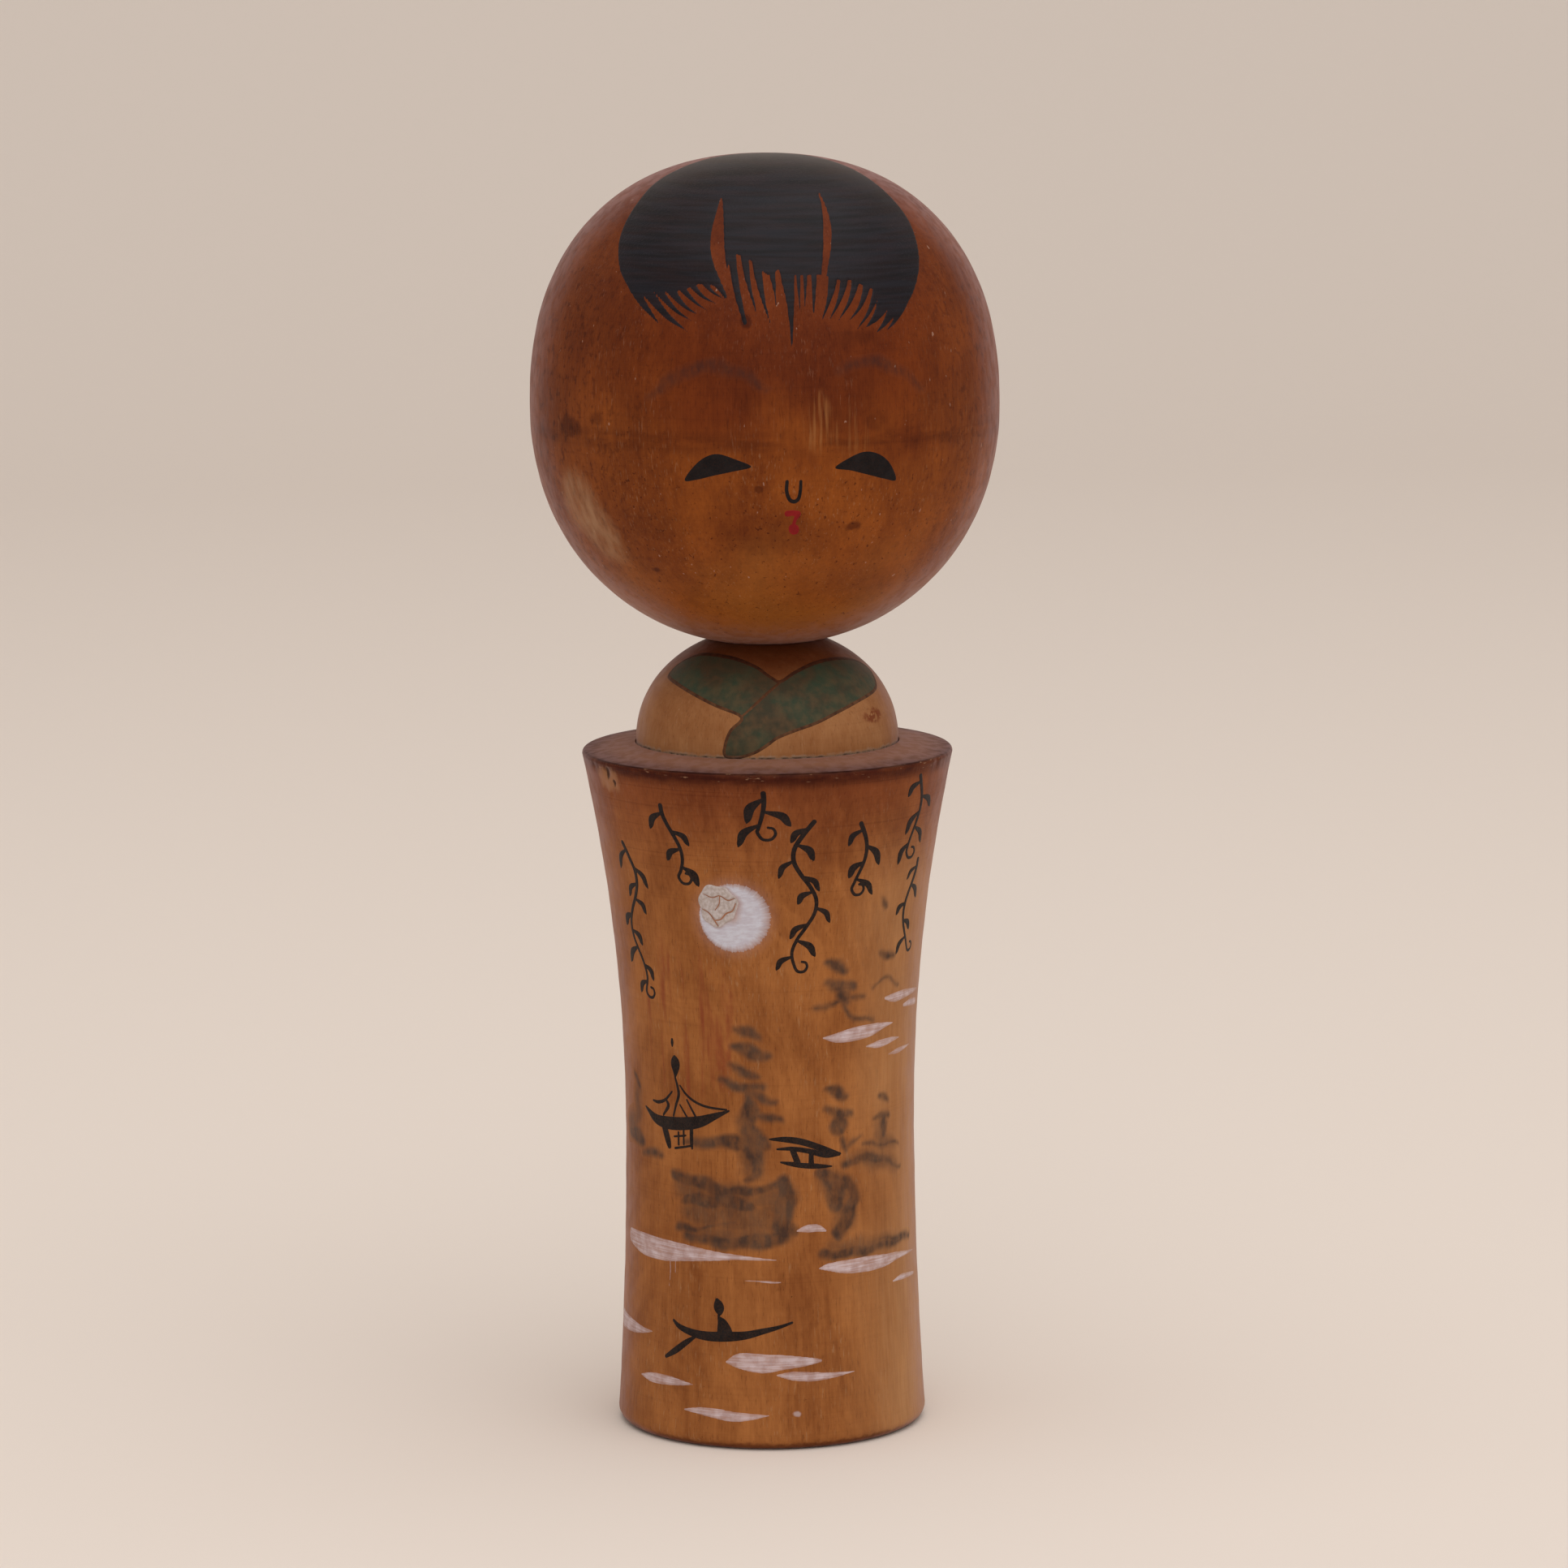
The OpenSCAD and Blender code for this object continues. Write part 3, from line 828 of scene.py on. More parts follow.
def finish_material(name, colour_of, specular, sheen):
    """A Principled material; colour_of gets the tree and returns colour, roughness, height sockets."""
    material = bpy.data.materials.new(name)
    material.use_nodes = True
    tree = material.node_tree
    shader = tree.nodes["Principled BSDF"]
    colour, rough, height = colour_of(tree)
    # Painted sheen: the pale room's reflection at grazing angles, mixed into the colour in mottled patches
    turned_away = put(tree, "LayerWeight", {"Blend": 0.5}).outputs["Facing"]
    patchy = noise(tree, millimetres(tree), PAINTED_SHEEN_GRAIN, 5.0, 83.0)
    amount = times(tree, cut(tree, turned_away, 0.5, 0.95, 0.0, sheen),
                   cut(tree, patchy, 0.36, 0.62, 0.6, 1.2))
    colour = mix(tree, amount, colour, PAINTED_SHEEN_COLOUR)
    bump = put(tree, "Bump", {"Height": height, "Distance": BUMP_DEPTH, "Strength": 1.0})
    tree.links.new(colour, shader.inputs["Base Color"])
    tree.links.new(rough, shader.inputs["Roughness"])
    tree.links.new(bump.outputs[0], shader.inputs["Normal"])
    shader.inputs["Specular IOR Level"].default_value = specular
    return material


def bare(wood):
    """What finish_material needs to show a piece's wood with nothing on it."""
    def colour_of(tree):
        """The sockets of the piece's wood group."""
        node = use_group(tree, piece_woods[wood])
        return node.outputs["Colour"], node.outputs["Roughness"], node.outputs["Height"]
    return colour_of


for thing, wood in ((trunk, "trunk"), (dome, "dome"), (head, "head"), (peg, "peg")):
    varnish = finish_material("old_varnish_on_" + wood, bare(wood), WOOD_SPECULAR, PAINTED_SHEEN_ON_WOOD)
    thing.data.materials.append(varnish)
    print(thing.name, "wears", varnish.name)

# %% [markdown]
# ## Paint as thin films
# Brush paint stands a few hundredths of a millimetre proud of the wood, and it ends where the
# brush lifted. A picture mapped on the wood could not show that relief, so each motif is a film:
# a fine grid laid on the turned surface, lifted by the signed distance to the paint's edge.
# Outside the edge the grid dives under the wood, so the visible border is exactly where the
# distance is zero, sharper than the grid itself. Cells far from paint are dropped, and a
# second layer deep in the wood closes the film to a solid.
# A second value per point, the cover, says how much pigment is there. It lets a dry brush or
# a thin wash show the wood: the paint material mixes in the very same wood group.

# %% Films and placing
LIFT = 0.035
SINK = 0.10
BURIED = 0.30


def wrap(side, unroll_r, top):
    """Lays a flat drawing on a turned side: x is arc length at the radius unroll_r, z is height."""
    def place(x, z, lift):
        """Points at arc length x and height z, lifted along the surface's normal."""
        z = np.minimum(z, top)
        lean = (side(z + 0.05) - side(z - 0.05)) / 0.1
        out = 1 / np.sqrt(1 + lean**2)
        r, high = side(z) + lift * out, z - lift * lean * out
        return np.stack([r * np.sin(x / unroll_r), -r * np.cos(x / unroll_r), high], -1)
    return place


def make_crown_place():
    """Lays a flat drawing on the crown: x to the side, y to the front, both measured from the pole
    along the surface."""
    share = np.linspace(0, 1, 6000)
    z = HEAD_TOP - 70 * share**2
    r = np.where(share > 0, head_side(z), 0)
    along = np.r_[0, np.cumsum(np.hypot(np.diff(r), np.diff(z)))]
    out, up = -np.gradient(z, along), np.gradient(r, along)

    def place(x, y, lift):
        """Points at distance (x, y) from the pole, lifted along the surface's normal."""
        far, turned = np.hypot(x, y), np.arctan2(x, y)
        radius = np.interp(far, along, r) + lift * np.interp(far, along, out)
        high = np.interp(far, along, z) + lift * np.interp(far, along, up)
        return np.stack([radius * np.sin(turned), -radius * np.cos(turned), high], -1)
    return place


on_trunk = wrap(trunk_side, 29.0, SIDE_TOP_Z)
on_dome = wrap(dome_side, 22.0, DOME_TOP - 0.1)
on_face = wrap(head_side, 43.5, HEAD_TOP - 1)
on_crown = make_crown_place()


FAR_OUTSIDE, FAR_AWAY = -9.0, 99.0
THINNEST = 0.05


def smooth(rows, steps):
    """Catmull-Rom: the cubic through the middle two of every four rows, each span cut in steps."""
    t = np.linspace(0, 1, steps, endpoint=False)[:, None, None]
    a, b, c, d = rows[:-3], rows[1:-2], rows[2:-1], rows[3:]
    spans = 0.5 * (2 * b + (c - a) * t + (2 * a - 5 * b + 4 * c - d) * t**2 + (3 * b - a - 3 * c + d) * t**3)
    return spans.transpose(1, 0, 2).reshape(-1, rows.shape[1])


def curve(line):
    """A smooth stroke through rows of (x, y, half width), whose ends are carried straight on."""
    line = np.asarray(line, float)
    longer = np.vstack([2 * line[0] - line[1], line, 2 * line[-1] - line[-2]])
    points = np.vstack([smooth(longer, 7), line[-1:]])
    points[:, 2] = np.maximum(points[:, 2], THINNEST)
    return points


def to_segment(x, y, ax, ay, bx, by):
    """How far along the segment from a to b the nearest point lies, from 0 to 1, and its distance."""
    length = max((bx - ax) ** 2 + (by - ay) ** 2, 1e-9)
    t = np.clip(((x - ax) * (bx - ax) + (y - ay) * (by - ay)) / length, 0, 1)
    return t, np.hypot(x - ax - t * (bx - ax), y - ay - t * (by - ay))


def stroke_edge(x, y, line):
    """Signed distance to a brush stroke: its half width there, less the distance to its line."""
    edge = np.full(x.shape, FAR_OUTSIDE)
    low, high = line[:, :2].min(0) - 3.5, line[:, :2].max(0) + 3.5
    near = (x > low[0]) & (x < high[0]) & (y > low[1]) & (y < high[1])
    px, py, best = x[near], y[near], edge[near]
    for (ax, ay, aw), (bx, by, bw) in zip(line[:-1], line[1:]):
        t, away = to_segment(px, py, ax, ay, bx, by)
        best = np.maximum(best, aw + t * (bw - aw) - away)
    edge[near] = best
    return edge


def strokes_edge(x, y, lines):
    """The union of several strokes."""
    return np.maximum.reduce([stroke_edge(x, y, curve(line)) for line in lines])


def outline_edge(x, y, corners):
    """Signed distance to a smooth closed outline, positive inside, where a ray meets it an odd number
    of times."""
    corners = np.asarray(corners, float)
    points = smooth(np.vstack([corners, corners[:3]]), 5)
    away = np.full(x.shape, FAR_AWAY)
    inside = np.zeros(x.shape, bool)
    for (ax, ay), (bx, by) in zip(points, np.roll(points, -1, 0)):
        away = np.minimum(away, to_segment(x, y, ax, ay, bx, by)[1])
        crosses = (ay > y) != (by > y)
        inside ^= crosses & (x < (bx - ax) * (y - ay) / (by - ay + 1e-12) + ax)
    return np.where(inside, away, -away)


def film(name, place, window, step, draw, wood, finish, lift=LIFT, slope=0.6):
    """A closed film over a window (x0, x1, y0, y1); draw gives edge distance and cover on the grid."""
    x0, x1, y0, y1 = window
    x, y = np.meshgrid(np.arange(x0, x1 + step / 2, step), np.arange(y0, y1 + step / 2, step))
    edge, cover = draw(x, y)
    high = np.clip(edge * slope, -SINK, lift)
    kept = high > -SINK * 0.999
    quad = kept[:-1, :-1] | kept[1:, :-1] | kept[:-1, 1:] | kept[1:, 1:]
    number = np.arange(x.size).reshape(x.shape)
    quads = np.stack([number[:-1, :-1], number[:-1, 1:], number[1:, 1:], number[1:, :-1]], -1)[quad]
    used, packed = np.unique(quads, return_inverse=True)
    quads = packed.reshape(-1, 4)
    top = place(x, y, high).reshape(-1, 3)[used]
    deep = place(x, y, np.full(x.shape, -BURIED)).reshape(-1, 3)[used]
    count = len(used)
    sides = np.concatenate([quads[:, [0, 1]], quads[:, [1, 2]], quads[:, [2, 3]], quads[:, [3, 0]]])
    key = np.sort(sides, 1)
    _, where, often = np.unique(key[:, 0] * count + key[:, 1], return_index=True, return_counts=True)
    rim = sides[where[often == 1]]
    walls = np.stack([rim[:, 1], rim[:, 0], rim[:, 0] + count, rim[:, 1] + count], 1)
    faces = np.vstack([quads, quads[:, ::-1] + count, walls])
    normal = np.cross(top[quads[0, 1]] - top[quads[0, 0]], top[quads[0, 3]] - top[quads[0, 0]])
    if normal @ (top[quads[0, 0]] - deep[quads[0, 0]]) < 0:
        faces = faces[:, ::-1]
    thing = make_object(name, np.vstack([top, deep]), faces.tolist(), wood)
    values = np.tile(np.broadcast_to(cover, x.shape).reshape(-1)[used], 2)
    attribute = thing.data.attributes.new("cover", "FLOAT", "POINT")
    attribute.data.foreach_set("value", values.astype(np.float32))
    thing.data.materials.append(finish)
    print(name, "has", len(faces), "faces")


def paint(name, wood, thin, thick, roughness, drag=0.0, threads=(1, 1, 1), grain=(0.5, 0.5, 0.5),
          sheen=PAINTED_SHEEN_ON_PAINT):
    """Paint over wood: two tones of pigment, worn by threads of dry brush, mixed in by the cover."""
    def colour_of(tree):
        """Wood below, pigment above, and the roughness of whichever shows."""
        under = use_group(tree, piece_woods[wood])
        place = millimetres(tree)
        cover = put(tree, "Attribute", attribute_name="cover").outputs["Fac"]
        tone = cut(tree, noise(tree, place, grain, 4.0, 61.0), 0.35, 0.65)
        pigment = mix(tree, tone, (*thin, 1), (*thick, 1))
        worn = cut(tree, noise(tree, place, threads, 3.0, 71.0), 0.30, 0.70)
        worn = times(tree, worn, drag)
        amount = times(tree, cover, calc(tree, "SUBTRACT", 1.0, worn))
        colour = mix(tree, amount, under.outputs["Colour"], pigment)
        rough = cut(tree, amount, 0.0, 1.0)
        bare_rough = times(tree, under.outputs["Roughness"], calc(tree, "SUBTRACT", 1.0, rough))
        rough = calc(tree, "ADD", bare_rough, times(tree, rough, roughness))
        return colour, rough, under.outputs["Height"]
    return finish_material(name, colour_of, PAINT_SPECULAR, sheen)


# %% [markdown]
# ### Hair
# The hair is one loaded brush: a rounded cap drawn from the crown forwards, two slits left open
# where a comb would part it, and a fringe of single flicks that taper to nothing. The drawing
# is flat, measured from the crown along the wood, x to the side and y to the front.

# %% Hair
HAIR_CAP = [
    (0, -1.8), (-5.5, -0.9), (-11, 1.6), (-16, 4.4), (-21.5, 7.8), (-26, 12.5), (-30.5, 17.5),
    (-33.2, 22),
    (-34.8, 27.5), (-34.4, 31), (-32.6, 33.8), (-30, 37.2), (-27.5, 39.8), (-25, 41.2), (-22.5, 42),
    (-20.3, 42.2),
    (-18.5, 43), (-16.8, 44), (-14.7, 47.2), (-14.1, 44), (-12, 39.2), (-9.9, 39.8), (-7.5, 41.8),
    (-5, 44.6), (-2.5, 43.8), (1, 45), (4, 44.8),
    (7, 44.6), (10, 45), (13.4, 44.4), (16.5, 44.6), (19, 44.6), (23, 46), (25.3, 45.2), (27.4, 43.4),
    (28.8, 39.5),
    (29.4, 34), (28.6, 28.5), (26.2, 22), (21.5, 15.5), (15.5, 8.2), (9, 1.8), (4.5, -1),
]
HAIR_FLICKS = [
    [(-34, 29, 0.9), (-33.6, 34, 1.0), (-32.8, 39, 0.7), (-31, 44.8, 0.06)],
    [(-32.5, 31.5, 1.2), (-30.9, 38, 1.0), (-28.6, 44.5, 0.6), (-25.2, 49.6, 0.06)],
    [(-30, 33.5, 1.1), (-28.6, 39, 0.8), (-26.4, 44.5, 0.4), (-23.6, 48.2, 0.06)],
    [(-27.5, 34.5, 1.2), (-26.2, 40, 0.9), (-24.2, 44.8, 0.4), (-21.6, 48, 0.06)],
    [(-25, 35.5, 1.0), (-23.7, 41, 0.7), (-21.7, 45.2, 0.3), (-19.4, 48, 0.06)],
    [(-22.8, 36.5, 1.0), (-21.6, 41, 0.7), (-19.8, 44.8, 0.35), (-17.2, 47.4, 0.06)],
    [(-20.2, 36.5, 1.0), (-19.2, 41, 0.7), (-17.6, 44.6, 0.35), (-15.2, 47.2, 0.06)],
    [(-17.8, 37, 0.9), (-17.2, 41, 0.6), (-16, 44.5, 0.3), (-14.8, 46.8, 0.06)],
    [(-11.6, 37, 0.9), (-12, 42, 0.8), (-12.1, 47, 0.7), (-11.5, 52.7, 0.45)],
    [(-9.2, 38.5, 0.9), (-9.4, 43, 0.7), (-9.2, 47, 0.4), (-8.5, 51.8, 0.06)],
    [(-6.9, 40, 1.0), (-7, 45, 0.8), (-6.6, 49.5, 0.4), (-5.6, 53.9, 0.06)],
    [(-3.9, 41, 0.9), (-4, 45, 0.6), (-3.9, 48, 0.25), (-3.9, 50.6, 0.06)],
    [(-1, 41, 1.7), (-0.8, 46, 1.4), (-0.6, 51, 0.8), (-0.8, 58.9, 0.06)],
    [(1.5, 42, 0.6), (1.5, 47, 0.35), (1.4, 52.2, 0.06)],
    [(3, 42, 0.7), (3, 46, 0.4), (2.7, 51, 0.06)],
    [(4.9, 42, 0.8), (4.9, 47, 0.5), (4.6, 53.2, 0.06)],
    [(9.2, 41, 1.2), (9, 46, 0.9), (8, 50, 0.4), (6.6, 53.4, 0.06)],
    [(11.8, 41, 1.1), (11.6, 45.5, 0.8), (10.4, 49.5, 0.4), (8.6, 52.8, 0.06)],
    [(14.4, 40.5, 1.1), (14.2, 45, 0.8), (13, 49, 0.4), (10.8, 52.6, 0.06)],
    [(17.2, 40.5, 1.1), (16.9, 45, 0.8), (15.7, 49, 0.4), (13.4, 52.2, 0.06)],
    [(19.6, 41, 1.1), (19.2, 45.5, 0.8), (17.9, 49.6, 0.4), (15.6, 53.2, 0.06)],
    [(22, 41, 1.9), (21.4, 46, 1.5), (20, 49.5, 0.8), (17.7, 52.4, 0.06)],
    [(24.8, 41, 1.9), (24.2, 45.5, 1.3), (22.6, 49.5, 0.6), (20.6, 52.4, 0.06)],
    [(26.6, 41, 1.6), (26, 45, 1.0), (24.8, 48.5, 0.4), (23.2, 51, 0.06)],
]
HAIR_SLITS = [
    [(-11.2, 24.2, 0.1), (-12.3, 28.5, 0.7), (-13.7, 33.5, 1.3), (-14.5, 38, 1.4), (-14.3, 43, 0.95),
     (-13.5, 48.5, 0.45)],
    [(7.4, 24.4, 0.08), (8, 28.5, 0.4), (8.3, 33, 0.75), (8.1, 38, 0.8), (7.4, 43, 0.6), (6.7, 48, 0.5)],
]


def draw_hair(x, y):
    """Cap and flicks together, less the slits."""
    edge = np.maximum(outline_edge(x, y, HAIR_CAP), strokes_edge(x, y, HAIR_FLICKS))
    return np.minimum(edge, -strokes_edge(x, y, HAIR_SLITS)), np.ones(x.shape)


hair_ink = paint("hair_ink", "head", (0.0085, 0.0072, 0.0090), (0.0135, 0.0125, 0.0170), 0.34, 0.05,
                 (0.10, 0.10, 1.1), (0.07, 0.07, 1.3), 0.0)
film("painted_hair", on_crown, (-36, 31, -5, 60), 0.3, draw_hair, "head", hair_ink, lift=0.05)

# %% [markdown]
# ### Face
# The face is a few strokes in the middle of a large blank ball: two half-moon eyes, a
# hook of a nose, a red dab of a mouth and eyebrows rubbed away to a shadow. Arc lengths are
# measured at the widest ring, and heights from the ground.

# %% Face
EYE_OUTLINES = [
    [(-20.8, 183.6), (-18.9, 186.2), (-16.6, 188), (-14.2, 188.6), (-11.2, 187.7), (-8.2, 186.3),
     (-11.6, 185.4), (-15.2, 184.6), (-18.4, 183.8)],
    [(7.2, 185.8), (9.8, 187.5), (12.7, 188.5), (15.6, 188), (18.2, 186.1), (19.9, 182.9), (17.2, 183.3),
     (13.5, 184.3), (10.2, 185.2)],
]
NOSE = [(-1.7, 183.5, 0.24), (-1.75, 181.7, 0.26), (-1.2, 180.2, 0.28), (-0.3, 179.75, 0.28),
        (0.5, 180.3, 0.26), (0.8, 181.8, 0.24), (0.85, 183.5, 0.2)]
MOUTH = [
    [(-1.5, 177.5, 0.48), (-0.5, 177.6, 0.44), (0.45, 177.4, 0.52)],
    [(0.4, 177.1, 0.42), (0.0, 176.3, 0.25), (-0.2, 175.6, 0.25)],
    [(-0.45, 174.75, 0.65), (-0.15, 174.5, 0.9), (0.1, 174.3, 0.7)],
]
EYEBROWS = [
    [(-27.3, 198.4, 0.5), (-22.2, 202.4, 0.95), (-16.4, 204.3, 1.1), (-10.6, 203.4, 0.8),
     (-5.2, 200.3, 0.3)],
    [(7.6, 202.8, 0.3), (11.5, 204.7, 0.7), (15.6, 204.6, 1.0), (20.5, 202.8, 0.9), (25.2, 199.1, 0.35)],
]


def solid(shape):
    """A drawing of full cover from an edge function."""
    return lambda x, y: (shape(x, y), np.ones(x.shape))


def loops(outlines):
    """Edge function of several closed outlines."""
    return lambda x, y: np.maximum.reduce([outline_edge(x, y, o) for o in outlines])


def lines(drawing):
    """Edge function of several strokes; a loaded brush spreads a hair beyond its drawn width."""
    return lambda x, y: strokes_edge(x, y, drawing) + 0.08


def dabs(drawing):
    """Gives every two-point stroke the belly of a pressed brush."""
    full = []
    for line in drawing:
        line = np.asarray(line, float)
        if len(line) == 2:
            middle = line.mean(0) * [1, 1, 1.5]
            line = np.vstack([line[0] * [1, 1, 0.85], middle, line[1] * [1, 1, 0.85]])
        full.append(line)
    return full


def wash(drawing, soften, strength, body=()):
    """Strokes whose cover fades over soften millimetres, wandering a little as wet ink does; under
    them lies a paler body of broad strokes."""
    def share_of(x, y, some, fade):
        """Edge distance, and a smooth step from 0 to 1 across the faded border."""
        edge = strokes_edge(x, y, some) + fade / 2
        share = np.clip(edge / fade, 0, 1)
        return edge, share * share * (3 - 2 * share)

    def draw(x, y):
        """Both layers on a grid that two crossed waves push about."""
        x = x + 0.30 * np.sin(1.0 * y + 0.5 * x) + 0.05 * np.sin(3.1 * y - 2.1 * x)
        y = y + 0.26 * np.sin(0.8 * x - 0.5 * y) + 0.04 * np.sin(2.7 * x + 1.3 * y)
        edge, cover = share_of(x, y, dabs(drawing), soften)
        if body:
            low_edge, low_cover = share_of(x, y, body, 2 * soften)
            edge = np.maximum(edge, low_edge)
            cover = np.maximum(cover, 0.68 * low_cover)
        return edge, strength * cover
    return draw


face_ink = paint("face_ink", "head", (0.005, 0.0045, 0.0055), (0.009, 0.008, 0.009), 0.40, 0.04,
                 (3, 3, 3))
lip_red = paint("lip_red", "head", (0.28, 0.010, 0.012), (0.20, 0.007, 0.009), 0.45, 0.06, (3, 3, 3))
rubbed_ink = paint("rubbed_ink", "head", (0.050, 0.018, 0.012), (0.034, 0.014, 0.012), 0.45, 0.6,
                   (1.2, 1.2, 0.5))
film("painted_eyes", on_face, (-22, 21, 182, 189.5), 0.14, solid(loops(EYE_OUTLINES)), "head", face_ink)
film("painted_nose", on_face, (-3, 2, 179, 184.5), 0.08, solid(lines([NOSE])), "head", face_ink)
film("painted_mouth", on_face, (-3.5, 2.5, 172, 179), 0.08, solid(lines(MOUTH)), "head", lip_red)
film("faded_eyebrows", on_face, (-30, 28, 196, 207.5), 0.25, wash(EYEBROWS, 1.3, 0.55), "head",
     rubbed_ink,
     lift=0.01, slope=0.1)

# %% [markdown]
# ### Collar
# Two bands of green cross below the neck, the right one over the left. The green is thin and
# has worn through to brown in patches; a dark line was drawn round it first.

# %% Collar
COLLAR = [
    (-29.6, 143.6), (-29.4, 145.7), (-24.5, 147.4), (-13.4, 147.4), (-6, 146.2), (-2, 144.4), (0, 143.7),
    (3.7, 145.1),
    (9.6, 146.3), (17.3, 146.6), (24.8, 145.8), (28.8, 144), (26.6, 142), (23.5, 140.7), (16.3, 139.5),
    (10.4, 138),
    (5.8, 136.4), (1.8, 135.2), (-1.2, 134), (-2.9, 132.7), (-5, 131.3), (-7.4, 130.5), (-9.9, 130.6),
    (-9.9, 132.7),
    (-9.1, 135.2), (-7.3, 137.7), (-12.4, 139.5), (-17.7, 141.1), (-22.9, 142.3), (-27.2, 143),
]
COLLAR_OVERLAP = [(0, 143.7, 0.25), (-3.3, 141.4, 0.32), (-7.2, 137.9, 0.25)]


def draw_collar_line(x, y):
    """A line drawn along the collar's outline, and a fainter one where one band crosses the other."""
    around = 0.3 - np.abs(outline_edge(x, y, COLLAR))
    across = strokes_edge(x, y, [COLLAR_OVERLAP])
    return np.maximum(around, across), np.where(around > across, 0.9, 0.8)


COLLAR_WINDOW = (-32, 31, 129.9, 147.9)
worn_green = paint("worn_green", "dome", (0.038, 0.055, 0.033), (0.050, 0.041, 0.024), 0.5, 0.16,
                   (0.6, 0.6, 0.6), (0.16, 0.16, 0.2))
outline_brown = paint("outline_brown", "dome", (0.040, 0.013, 0.008), (0.026, 0.010, 0.008), 0.5, 0.25)
film("painted_collar", on_dome, COLLAR_WINDOW, 0.2, solid(loops([COLLAR])), "dome", worn_green, lift=0.03)
film("collar_outline", on_dome, COLLAR_WINDOW, 0.14, draw_collar_line, "dome", outline_brown, lift=0.045)

# %% [markdown]
# ### Moon
# The moon was dabbed on with a nearly dry brush: solid in the middle, breaking into bristle
# marks at its edge, with a breath of pink around it. Part of it was mended with filler, which
# has dried into a cracked, sandy crust that stands a fifth of a millimetre proud.

# %% Moon
MOON_X, MOON_Z, MOON_R = -10.2, 101.3, 6.3


def filler_shape(x, y):
    """Distance inside the patch at the upper left of the moon."""
    dx, dz = (x + 12.9) / 3.6, (y - 103.5) / 4.0
    around = np.arctan2(dz, dx)
    return 3.7 * (1 + 0.05 * np.sin(3 * around + 1) + 0.04 * np.sin(7 * around) - np.hypot(dx, dz))


def draw_moon(x, y):
    """A disc, crisp on its left, whose right edge is frayed by bristle marks pointing outwards."""
    dx, dz = x - MOON_X, y - MOON_Z
    around, far = np.arctan2(dz, dx), np.hypot(dx, dz)
    right = np.clip(0.5 + 0.5 * np.cos(around + 0.3), 0, 1)
    fray = np.sin(61 * around) + 0.8 * np.sin(97 * around + 1.3) + np.sin(23 * around + 0.5)
    edge = MOON_R + (0.03 + 0.07 * right) * fray + 0.5 * right - far
    edge = np.minimum(edge, 0.3 - filler_shape(x, y))
    soft = 0.3 + 1.5 * right
    return edge, 0.3 + 0.7 * np.clip(edge / soft, 0, 1)


def draw_glow(x, y):
    """A halo that fades out evenly around the disc."""
    far = np.hypot(x - MOON_X, y - MOON_Z)
    share = np.clip((MOON_R + 2.6 - far) / 2.8, 0, 1)
    return MOON_R + 2.8 - far, 0.22 * share**1.6


FILLER_CRACKS = [
    [(-16, 102.8, 0.05), (-14.6, 102, 0.1), (-13.6, 100.6, 0.12), (-13, 99.6, 0.1)],
    [(-13.6, 100.6, 0.1), (-12.4, 100.9, 0.12), (-11.4, 102, 0.14), (-10.2, 102.6, 0.1),
     (-9.6, 104, 0.08)],
    [(-15.4, 105.6, 0.05), (-13.8, 105, 0.09), (-12.4, 105.4, 0.08), (-11, 104.6, 0.1),
     (-9.7, 105, 0.05)],
    [(-12.4, 105.4, 0.07), (-12.6, 103.8, 0.09), (-13.4, 102.6, 0.07)],
]


def draw_filler(x, y):
    """The lumpy patch, split by cracks."""
    return np.minimum(filler_shape(x, y), -strokes_edge(x, y, FILLER_CRACKS)), np.ones(x.shape)


def on_filler(x, y, lift):
    """The trunk's surface; the filler's lumps, a sum of crossed waves, add to what stands proud."""
    broad = np.sin(3.1 * x + 1.7 * y) * np.sin(2.3 * y - 1.1 * x)
    lumps = broad + 0.6 * np.sin(6.3 * x) * np.sin(5.7 * y + x)
    return on_trunk(x, y, lift + np.where(lift > 0.1, 0.03 * lumps, 0))


pink_breath = paint("pink_breath", "trunk", (0.50, 0.36, 0.37), (0.46, 0.33, 0.33), 0.5, 0.35,
                    (1.5, 1.5, 1.5))
chalk_white = paint("chalk_white", "trunk", (0.60, 0.60, 0.68), (0.53, 0.50, 0.57), 0.6, 0.07,
                    (1.2, 1.2, 3.5), (0.6, 0.6, 2.0))
sandy_filler = paint("sandy_filler", "trunk", (0.54, 0.48, 0.47), (0.42, 0.355, 0.33), 0.8, 0.08,
                     (1.6, 1.6, 1.6), (1.8, 1.8, 1.8))
film("moon_glow", on_trunk, (-21, 1, 91, 112), 0.3, draw_glow, "trunk", pink_breath, lift=0.01, slope=0.1)
film("painted_moon", on_trunk, (-18.2, -2.2, 93.5, 109.5), 0.12, draw_moon, "trunk", chalk_white,
     lift=0.05)
film("moon_filler", on_filler, (-17, -8.8, 99, 108), 0.1, draw_filler, "trunk", sandy_filler, lift=0.2,
     slope=1.0)

# %% [markdown]
# ### Landscape
# Below the moon lies a bay: pines on islets in thinned ink that has faded to brown, a small
# pavilion, a covered boat and a rowing boat in black, and clouds and waves in dry white.
# Every mark is one brush stroke, so each is written down as a brush would make it: a few points
# with the half width of the brush at each. A pavilion or a boat is a handful of such strokes.

